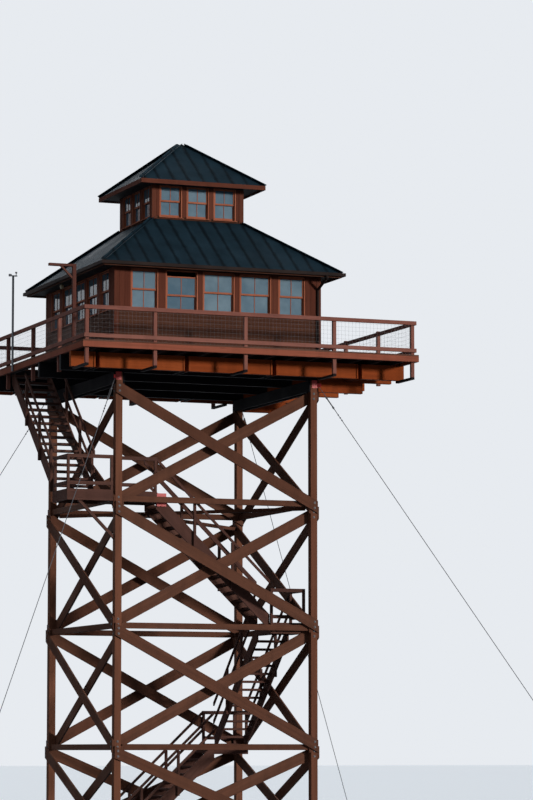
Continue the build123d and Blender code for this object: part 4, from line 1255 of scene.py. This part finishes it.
@dataclass
class SeamedRoof:
    """Folded seams up the slopes of a hipped roof, caps over its hips and a strip along its eaves.

    Attributes:
        name: What the pieces' names start with.
        eave: Half the roof's width at the eave.
        top: Half its width at the upper edge, or nothing at a point.
        eave_z: Height of the slope at the eave.
        top_z: Height at the upper edge.
        strip: How far the eave strip hangs below the slope's edge.
        strip_face: How far the strip stands out of the eave, and how far it goes in.
        strip_over: How far it stands above the edge.
        pitch: Distance between two seams.
        seam_wide: Width of a seam.
        seam_high: Its height over the slope.
        seam_sink: How far it goes into the slope.
        margin: How far the seams and strips stay from the eave's edge and corners.
        cap_wide: Half the width of a hip cap.
        cap_high: Height of its ridge over the hip, and thickness of its edges.
        cap_drop: How far its edges hang below its ridge.
        cap_sink: How far the underside of its ridge lies below the hip.
        cap_end: How far its foot stays from the roof's corner.
        short: How near to the middle the caps go.
    """

    name: str
    eave: float
    top: float
    eave_z: float
    top_z: float
    strip: float = 0.075
    strip_face: Pair = (0.003, 0.004)
    strip_over: float = 0.003
    pitch: float = 0.42
    seam_wide: float = 0.02
    seam_high: float = 0.04
    seam_sink: float = 0.004
    margin: float = 0.01
    cap_wide: float = 0.085
    cap_high: float = 0.012
    cap_drop: float = 0.05
    cap_sink: float = 0.01
    cap_end: float = 0.005
    short: float = 0.07

    def height(self, distance: float) -> float:
        """Height of the slope at a distance from the middle."""
        return self.eave_z + (self.eave - distance) * (self.top_z - self.eave_z) / (self.eave - self.top)

    def build(self) -> None:
        """Builds the seams, the hip caps and the drip strips as one piece."""
        pile = Boards(f"{self.name}_seams")
        seam = plank((-self.seam_wide / 2, -self.seam_sink), (self.seam_wide / 2, self.seam_high))
        wide, drop = self.cap_wide, -self.cap_drop
        cap = np.array([(-wide, drop), (0.0, -self.cap_sink), (wide, drop),
                        (wide, drop + self.cap_high), (0.0, self.cap_high), (-wide, drop + self.cap_high)])
        reach = int((self.eave - self.cap_wide) / self.pitch)
        foot, corner, end = self.eave - self.margin, self.eave - self.cap_end, max(self.top, self.short)
        for _ in pile.sides():
            for x in np.arange(-reach, reach + 1) * self.pitch:
                stop = max(self.top, abs(x) + self.cap_wide / 2)
                pile.add((x, -foot, self.height(foot)), (x, -stop, self.height(stop)), X, seam)
            pile.add((corner, -corner, self.eave_z), (end, -end, self.height(end)), (1, 1, 0), cap)
            pile.level((-foot, foot), (-self.eave - self.strip_face[0], -self.eave + self.strip_face[1]),
                       (self.eave_z - self.strip, self.eave_z + self.strip_over))
        pile.build(Finish.ROOF, "roof_metal")


@dataclass
class RailingMesh:
    """Welded wire between the posts and rails of the deck's railing.

    Attributes:
        z: Lowest and highest height of the wires.
        x: Left and right line of the wires.
        y: Distance of the front and back line from the middle.
        pitch: Least distance between two wires.
        wire: Width of a wire, which is square.
    """

    z: Pair
    x: Pair
    y: float
    pitch: float = 0.102
    wire: float = 0.0026

    def build(self) -> None:
        """Builds the wires of all four sides as one piece."""
        pile = Boards("railing_wire")
        half = self.wire / 2
        square = plank((-half, -half), (half, half))
        low, high = self.z
        front_left, front_right, back_right, back_left = plank((self.x[0], -self.y), (self.x[1], self.y))
        for a, b in ((front_left, front_right), (back_left, back_right), (front_left, back_left),
                     (front_right, back_right)):
            for share in np.linspace(0.0, 1.0, int(np.linalg.norm(b - a) / self.pitch) + 1):
                x, y = a + (b - a) * share
                pile.add((x, y, low), (x, y, high), X, square)
            for z in np.linspace(low, high, int((high - low) / self.pitch) + 1):
                pile.add((*a, z), (*b, z), Z, square)
        pile.build(Finish.STEEL, "galvanised_wire")


@dataclass
class DeckBoards:
    """Boards of the deck along X, cut round the stairwell and the posts.

    Attributes:
        x: Left and right edge of the deck.
        y: Distance of the front and back edge from the middle.
        z: Lowest and highest face of the boards.
        holes: Rectangles that stay open, each as x0, x1, y0, y1.
        wide: Least width of a board.
        gap: Gap between two rows of boards, and twice the gap between two boards of a row.
        length: Length of the stock that the boards are cut from.
        first: Share of that length that the first board of a row has at least.
        last: A row's last board is at least this long.
        offcut: Shorter offcuts are left out.
        sliver: Narrower strips beside a hole are left out.
    """

    x: Pair
    y: float
    z: Pair
    holes: list[tuple[float, float, float, float]]
    wide: float = 0.14
    gap: float = 0.004
    length: float = 3.66
    first: float = 0.25
    last: float = 0.3
    offcut: float = 0.02
    sliver: float = 0.008

    def cut(self, pile: Boards, spans: list[Pair], y0: float, y1: float) -> list[Pair]:
        """Takes the holes out of one row of boards, and adds the strips of the row that run past a hole.

        Args:
            pile: The pile that takes the strips.
            spans: Ends of the row's boards.
            y0: Lower edge of the row in plan.
            y1: Upper edge of the row in plan.

        Returns:
            Ends of the boards that are left.
        """
        for left, right, front, back in self.holes:
            if not (front < y1 and y0 < back):
                continue
            halves = [half for a, b in spans for half in ((a, min(b, left)), (max(a, right), b))]
            spans = [half for half in halves if half[1] - half[0] > self.offcut]
            x = max(left, self.x[0]), min(right, self.x[1])
            for strip in ((y0, front), (back, y1)):
                if strip[1] - strip[0] > self.sliver and x[1] - x[0] > self.sliver:
                    pile.level(x, strip, self.z)
        return spans

    def build(self) -> None:
        """Builds the boards, each row cut to stock lengths that start at a chance place."""
        pile = Boards("deck_boards")
        rows = int(2 * self.y / (self.wide + self.gap))
        step = 2 * self.y / rows
        for i in range(rows):
            y = -self.y + i * step + self.gap / 2, -self.y + (i + 1) * step - self.gap / 2
            cuts = [self.x[0]]
            at = self.x[0] + self.length * (self.first + (1.0 - self.first) * pile.chance.random())
            while at < self.x[1] - self.last:
                cuts.append(at)
                at += self.length
            cuts.append(self.x[1])
            for a, b in self.cut(pile, list(zip(cuts[:-1], cuts[1:])), *y):
                pile.level((a + self.gap / 4, b - self.gap / 4), y, self.z)
        pile.build(Finish.BOARDWALK, "deck_timber", 0.003, "deck_floor")


@dataclass
class BoltHeads:
    """Hexagon heads on washers where the planks and legs are bolted, the same on each side of the tower.

    Attributes:
        places: Middle of each washer's back face, on the front.
        washer: Radius of a washer.
        head: Radius of a head, to its corners.
        washer_thick: Thickness of a washer.
        head_thick: Height of a head.
    """

    places: list[Point]
    washer: float = 0.032
    head: float = 0.019
    washer_thick: float = 0.004
    head_thick: float = 0.014

    def build(self) -> None:
        """Builds all the heads as one piece: a twelve-sided disc, and a six-sided one on it."""
        pile = Boards("bolt_heads")
        washer, head = disc(12) * self.washer, disc(6) * self.head
        for _ in pile.sides():
            for x, y, z in self.places:
                seat = y - self.washer_thick
                pile.add((x, y, z), (x, seat, z), Z, washer)
                pile.add((x, seat, z), (x, seat - self.head_thick, z), Z, head)
        pile.build(Finish.STEEL, "galvanised_wire")


@dataclass
class GuyWires:
    """Four guys of twisted strands, each with an open turnbuckle and cable clips near its upper end.

    Attributes:
        top: Upper end of the guy at +X and +Y, before the bracket's lug.
        foot: Its lower end.
        begins: How far down from the upper end the strands begin.
        strands: How many strands a guy has.
        strand: Radius of a strand.
        twist: Distance of its middle from the guy's line.
        pitch: Length of a full twist.
        step: Length of the straight stretches that a strand is made of.
        sides: How many sides a strand has.
        body: Where the turnbuckle begins and ends.
        inset: Length of the rods that show beyond its end blocks.
        block: Length and radius of an end block.
        rod: Radius of a rod.
        bar_off: Distance of the side bars from the guy's line.
        bar: Half the width and half the thickness of a side bar.
        clips: Where the cable clips begin.
        clip: Length and radius of a clip.
    """

    top: Point = (2.838, 2.838, 12.78)
    foot: Point = (9.131, 9.131, 0.246)
    begins: float = 0.085
    strands: int = 3
    strand: float = 0.0052
    twist: float = 0.0055
    pitch: float = 0.34
    step: float = 0.045
    sides: int = 5
    body: Pair = (0.33, 0.95)
    inset: float = 0.12
    block: Pair = (0.05, 0.027)
    rod: float = 0.011
    bar_off: float = 0.02
    bar: Pair = (0.006, 0.01)
    clips: tuple[float, ...] = (1.04, 1.13, 1.22)
    clip: Pair = (0.022, 0.02)

    def line(self) -> tuple[np.ndarray, np.ndarray, np.ndarray, float]:
        """Works out the line of the guy at +X and +Y.

        Returns:
            Its upper end, its direction, a direction square to it, and its length.
        """
        top, foot = np.array(self.top), np.array(self.foot)
        length = float(np.linalg.norm(foot - top))
        along = (foot - top) / length
        beside = np.cross(along, Z)
        return top, along, beside / np.linalg.norm(beside), length

    def wires(self) -> None:
        """Builds the strands: each is a ring of points carried along a helix about the guy's line."""
        top, along, beside, length = self.line()
        square = np.cross(along, beside)
        way = np.linspace(self.begins, length, int((length - self.begins) / self.step))[:, None, None]
        ring = disc(self.sides)[None] * self.strand
        points, faces, count = [], [], 0
        for quarter in range(4):
            for strand in range(self.strands):
                angle = 2 * pi * (way / self.pitch + strand / self.strands)
                tube = (top + way * along + (self.twist * np.cos(angle) + ring[..., :1]) * beside
                        + (self.twist * np.sin(angle) + ring[..., 1:]) * square)
                points.append(tube.reshape(-1, 3) @ quarter_turn(quarter).T)
                at = count + np.arange(tube.shape[0] * self.sides).reshape(-1, self.sides)
                beyond = np.roll(at, -1, axis=1)
                quads = np.stack([at[:-1], beyond[:-1], beyond[1:], at[1:]], axis=-1)
                faces += quads.reshape(-1, 4).tolist()
                faces += [at[0][::-1].tolist(), at[-1].tolist()]
                count += at.size
        mesh = bpy.data.meshes.new("guy_strands")
        mesh.from_pydata(np.concatenate(points), [], faces)
        new_piece(mesh, Finish.GALVANISED, "galvanised_wire", 0.0, "guy_cables")

    def turnbuckles(self) -> None:
        """Builds the turnbuckles and clips: rods, end blocks, two side bars and small discs."""
        pile = Boards("guy_turnbuckles")
        top, along, beside, _ = self.line()
        low, high = self.body[0] + self.inset, self.body[1] - self.inset
        thick, radius = self.block
        rounds = [(self.body[0], low + thick, self.rod), (high - thick, self.body[1], self.rod),
                  (low, low + thick, radius), (high - thick, high, radius)]
        clips = [(at, at + self.clip[0], self.clip[1]) for at in self.clips]
        bar = plank([-half for half in self.bar], self.bar)
        for _ in pile.sides():
            for start, end, size in rounds:
                pile.add(top + along * start, top + along * end, beside, disc(8) * size)
            for side in (-1, 1):
                edge = top + side * self.bar_off * beside
                pile.add(edge + along * (low + thick), edge + along * (high - thick), beside, bar)
            for start, end, size in clips:
                pile.add(top + along * start, top + along * end, beside, disc(8) * size)
        pile.build(Finish.GALVANISED, "galvanised_wire", 0.001)

    def build(self) -> None:
        """Builds the wires and their fittings."""
        self.wires()
        self.turnbuckles()


@dataclass
class BackDoor:
    """The door of the back wall: stiles and rails with a glazed upper panel, and its casing.

    Attributes:
        half: Half the opening's width.
        low: Height of its foot.
        high: Height of its head.
        wall: Distance of the wall's outer face from the middle.
        y: Inner and outer face of the CAD door.
        gap: Gap above and below the door.
        side_gap: Gap beside it.
        stile: Width of its stiles, and height of its top and middle rail.
        bottom_rail: Height of its bottom rail.
        sill_rail: Height of the glass above the door's foot.
        panel_in: How far the lower panel is sunk on each face.
        pane: Inner and outer face of the glass, from the door's inner face.
        casing: Width of the casing.
        casing_thick: Its thickness.
    """

    half: float
    low: float
    high: float
    wall: float
    y: Pair
    gap: float = 0.004
    side_gap: float = 0.003
    stile: float = 0.11
    bottom_rail: float = 0.2
    sill_rail: float = 0.95
    panel_in: float = 0.014
    pane: Pair = (0.02, 0.025)
    casing: float = 0.07
    casing_thick: float = 0.022

    def build(self) -> None:
        """Builds the door, its lower panel, its glass and its casing."""
        wood, trim, glass = Boards("back_door"), Boards("back_door_casing"), Boards("back_door_pane")
        low, high, half = self.low + self.gap, self.high - self.gap, self.half - self.side_gap
        face = (self.wall, self.wall + self.casing_thick)
        for x in both_sides(half - self.stile, half):
            wood.upright(0, x, self.y, (low, high))
        for x in both_sides(self.half, self.half + self.casing):
            trim.upright(0, x, face, (self.low, self.high + self.casing))
        trim.level((-self.half, self.half), face, (self.high, self.high + self.casing))
        across = (self.stile - half, half - self.stile)
        bottom, sill, head = low + self.bottom_rail, low + self.sill_rail, high - self.stile
        for z in ((low, bottom), (sill - self.stile, sill), (head, high)):
            wood.level(across, self.y, z)
        panel = (self.y[0] + self.panel_in, self.y[1] - self.panel_in)
        wood.level(across, panel, (bottom, sill - self.stile))
        glass.level(across, [self.y[0] + depth for depth in self.pane], (sill, head))
        wood.build(Finish.MULLION, "siding", 0.003, "cab_door")
        trim.build(Finish.TRIM, "window_trim", 0.003)
        glass.build(Finish.GLASS, "window_glass")


@dataclass
class Details:
    """The fine pieces, each placed by the corners of the CAD nodes that it goes on.

    Attributes:
        window_spacing: Distance between the middles of two cab windows.
        window_wide: Width of the three middle openings of a cab wall.
        end_window_wide: Width of its two outer openings.
        cupola_spacing: Distance between the middles of two cupola windows.
        cupola_wide: Width of their openings.
        lowered_sash: How far the upper sash of the front's second cab window is let down.
        door_casing: Width that the boards leave free on each side of the back door.
        clearance: Small gap that keeps a board from touching what lies above or below.
        roof_thick: How far the slope lies above the eave's underside.
        cupola_strip: How far the eave strip of the cupola's roof hangs down.
        eave_board: Thickness of the cupola's eave boards.
        eave_lap: How far the cupola's eave boards reach over the roof's edge.
        eave_drop: How far they stay below the slope's edge.
        brace_bay: Height of a bay of cross-bracing.
        brace_off: Distance of the planks' bolts from the ends of a bay.
        lowest_bolt: Height of the lowest bolts above the piers.
        leg: Width of a leg.
        plank: Thickness of a brace.
        bolt_offset: Half the distance between two bolts.
        rail_post: Width of a railing post.
        post_gap: Gap between a post and the deck boards round it.
        widest_post: Solids of a railing that are wider than this aren't posts.
        post_level: Posts start no higher than this above the lowest point of their railing.
        wire_margin: Distance of the wire from the deck and from the handrail.
        wire_in: How far it stays inside the front railing's ends, and inside the left railing's.
        well: The stair's opening in the deck, as x0, x1, y0, y1.
    """

    window_spacing: float = 1.04
    window_wide: float = 0.905
    end_window_wide: float = 0.77
    cupola_spacing: float = 0.775
    cupola_wide: float = 0.65
    lowered_sash: float = 0.12
    door_casing: float = 0.075
    clearance: float = 0.002
    roof_thick: float = 0.06
    cupola_strip: float = 0.03
    eave_board: float = 0.014
    eave_lap: float = 0.001
    eave_drop: float = 0.004
    brace_bay: float = 3.158
    brace_off: float = 0.121
    lowest_bolt: float = 0.22
    leg: float = 0.19
    plank: float = 0.05
    bolt_offset: float = 0.07
    rail_post: float = 0.095
    post_gap: float = 0.004
    widest_post: float = 0.152
    post_level: float = 0.01
    wire_margin: float = 0.02
    wire_in: Pair = (0.09, 0.012)
    well: tuple[float, float, float, float] = (-4.104, -2.994, 0.16, 2.31)

    def cab(self) -> None:
        """Windows, boards and door of the cab."""
        low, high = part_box("cab_windows")
        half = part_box("cab_wall_front")[1][0]
        door_low, door_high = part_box("cab_door")
        widths = [self.end_window_wide] + [self.window_wide] * 3 + [self.end_window_wide]
        windows = [((i - 2) * self.window_spacing, wide) for i, wide in enumerate(widths)]
        row = WindowRow("cab", half, low[2], high[2], windows, ("cab_windows", "cab_glass"), 2,
                        self.lowered_sash)
        row.build()
        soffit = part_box("eave_soffit")[0][2]
        deck, door_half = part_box("deck_floor")[1][2], door_high[0] + self.door_casing
        Cladding(row, deck, soffit - self.clearance, door_half).build()
        BackDoor(door_high[0], door_low[2], door_high[2], half, (door_low[1], door_high[1])).build()

    def cupola(self) -> None:
        """Windows and boards of the cupola."""
        low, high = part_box("cupola_windows")
        walls_low, walls_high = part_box("cupola_walls")
        windows = [((i - 1) * self.cupola_spacing, self.cupola_wide) for i in range(3)]
        row = WindowRow("cupola", walls_high[0], low[2], high[2], windows, ("cupola_windows", "cupola_glass"))
        row.build()
        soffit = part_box("cupola_soffit")[0][2]
        Cladding(row, walls_low[2] + self.clearance, soffit - self.clearance).build()

    def roofs(self) -> None:
        """Seams and caps of both roofs, and the boards that cover the edge of the cupola's roof."""
        low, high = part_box("main_roof")
        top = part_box("cupola_walls")[1][0]
        SeamedRoof("main_roof", high[0], top, low[2] + self.roof_thick, high[2]).build()
        low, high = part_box("cupola_roof")
        edge, head = high[0], low[2] + self.roof_thick
        SeamedRoof("cupola_roof", edge, 0.0, head, high[2], self.cupola_strip).build()
        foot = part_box("cupola_fascia")[0][2]
        section = plank((-self.eave_board, foot), (self.eave_lap, head - self.eave_drop))
        boards = Boards("cupola_eave_boards")
        for _ in boards.sides():
            boards.add((-edge, -edge, 0), (edge, -edge, 0), Y, section, (1.0, 0.0), (-1.0, 0.0))
        boards.build(Finish.MULLION, "window_trim", 0.002)

    def deck(self) -> None:
        """Boards of the deck and the wire of its railing."""
        low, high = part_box("deck_floor")
        half = self.rail_post / 2 + self.post_gap
        holes = [self.well]
        for name in (*each_side("railing"), "hoist_post"):
            holes += [(x - half, x + half, y - half, y + half) for x, y in self.post_middles(name)]
        DeckBoards((low[0], high[0]), high[1], (low[2], high[2]), holes).build()
        rail_low, rail_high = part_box("railing_front")
        RailingMesh((high[2] + self.wire_margin, rail_high[2] - self.wire_margin),
                    (rail_low[0] + self.wire_in[0], rail_high[0] - self.wire_in[0]),
                    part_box("railing_left")[1][1] - self.wire_in[1]).build()

    def post_middles(self, name: str) -> list[Pair]:
        """Places in plan of the upright posts of a node, found from its mesh.

        Args:
            name: The CAD node.

        Returns:
            The middle of each solid that is about as wide as a post and reaches the node's lowest level.
        """
        points, edges = mesh_arrays(bpy.data.objects[name].data)
        places, back = np.unique(np.round(points, 4), axis=0, return_inverse=True)
        label = solids_of(len(places), back.ravel()[edges])
        solids = [places[label == i] for i in range(label.max() + 1)]
        spans = [(solid.min(axis=0), solid.max(axis=0)) for solid in solids]
        floor = places[:, 2].min() + self.post_level
        return [tuple((low + high)[:2] / 2) for low, high in spans
                if (high - low)[:2].max() < self.widest_post and low[2] < floor]

    def bolts(self) -> None:
        """Heads on the outer planks at each leg, and on the legs where the inner planks are bolted."""
        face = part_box("legs")[1][0]
        middle = face - self.leg / 2
        girder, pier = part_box("deck_girders")[0][2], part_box("concrete_piers")[1][2]
        tops = [girder - self.brace_bay * i - self.brace_off for i in range(4)]
        feet = [girder - self.brace_bay * (i + 1) + self.brace_off for i in range(3)]
        feet.append(pier + self.lowest_bolt)
        planks = [(top, foot, self.plank) for top, foot in zip(tops, feet)]
        planks += [(foot, top, 0.0) for top, foot in zip(tops, feet)]
        BoltHeads([(x, -face - out, z + shift) for left, right, out in planks
                   for x, z in ((-middle, left), (middle, right))
                   for shift in (-self.bolt_offset, self.bolt_offset)]).build()

    def build(self) -> None:
        """Builds every group of details."""
        self.cab()
        self.cupola()
        self.roofs()
        self.deck()
        self.bolts()
        GuyWires().build()


def main() -> None:
    """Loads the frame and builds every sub-assembly."""
    logging.basicConfig(level=logging.INFO, format="%(name)s: %(message)s")
    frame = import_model()
    Studio().build()
    for group in CARRIED:
        group.build(frame["nodes"])
    Details().build()
    bpy.context.view_layer.update()


if __name__ == "__main__":
    main()
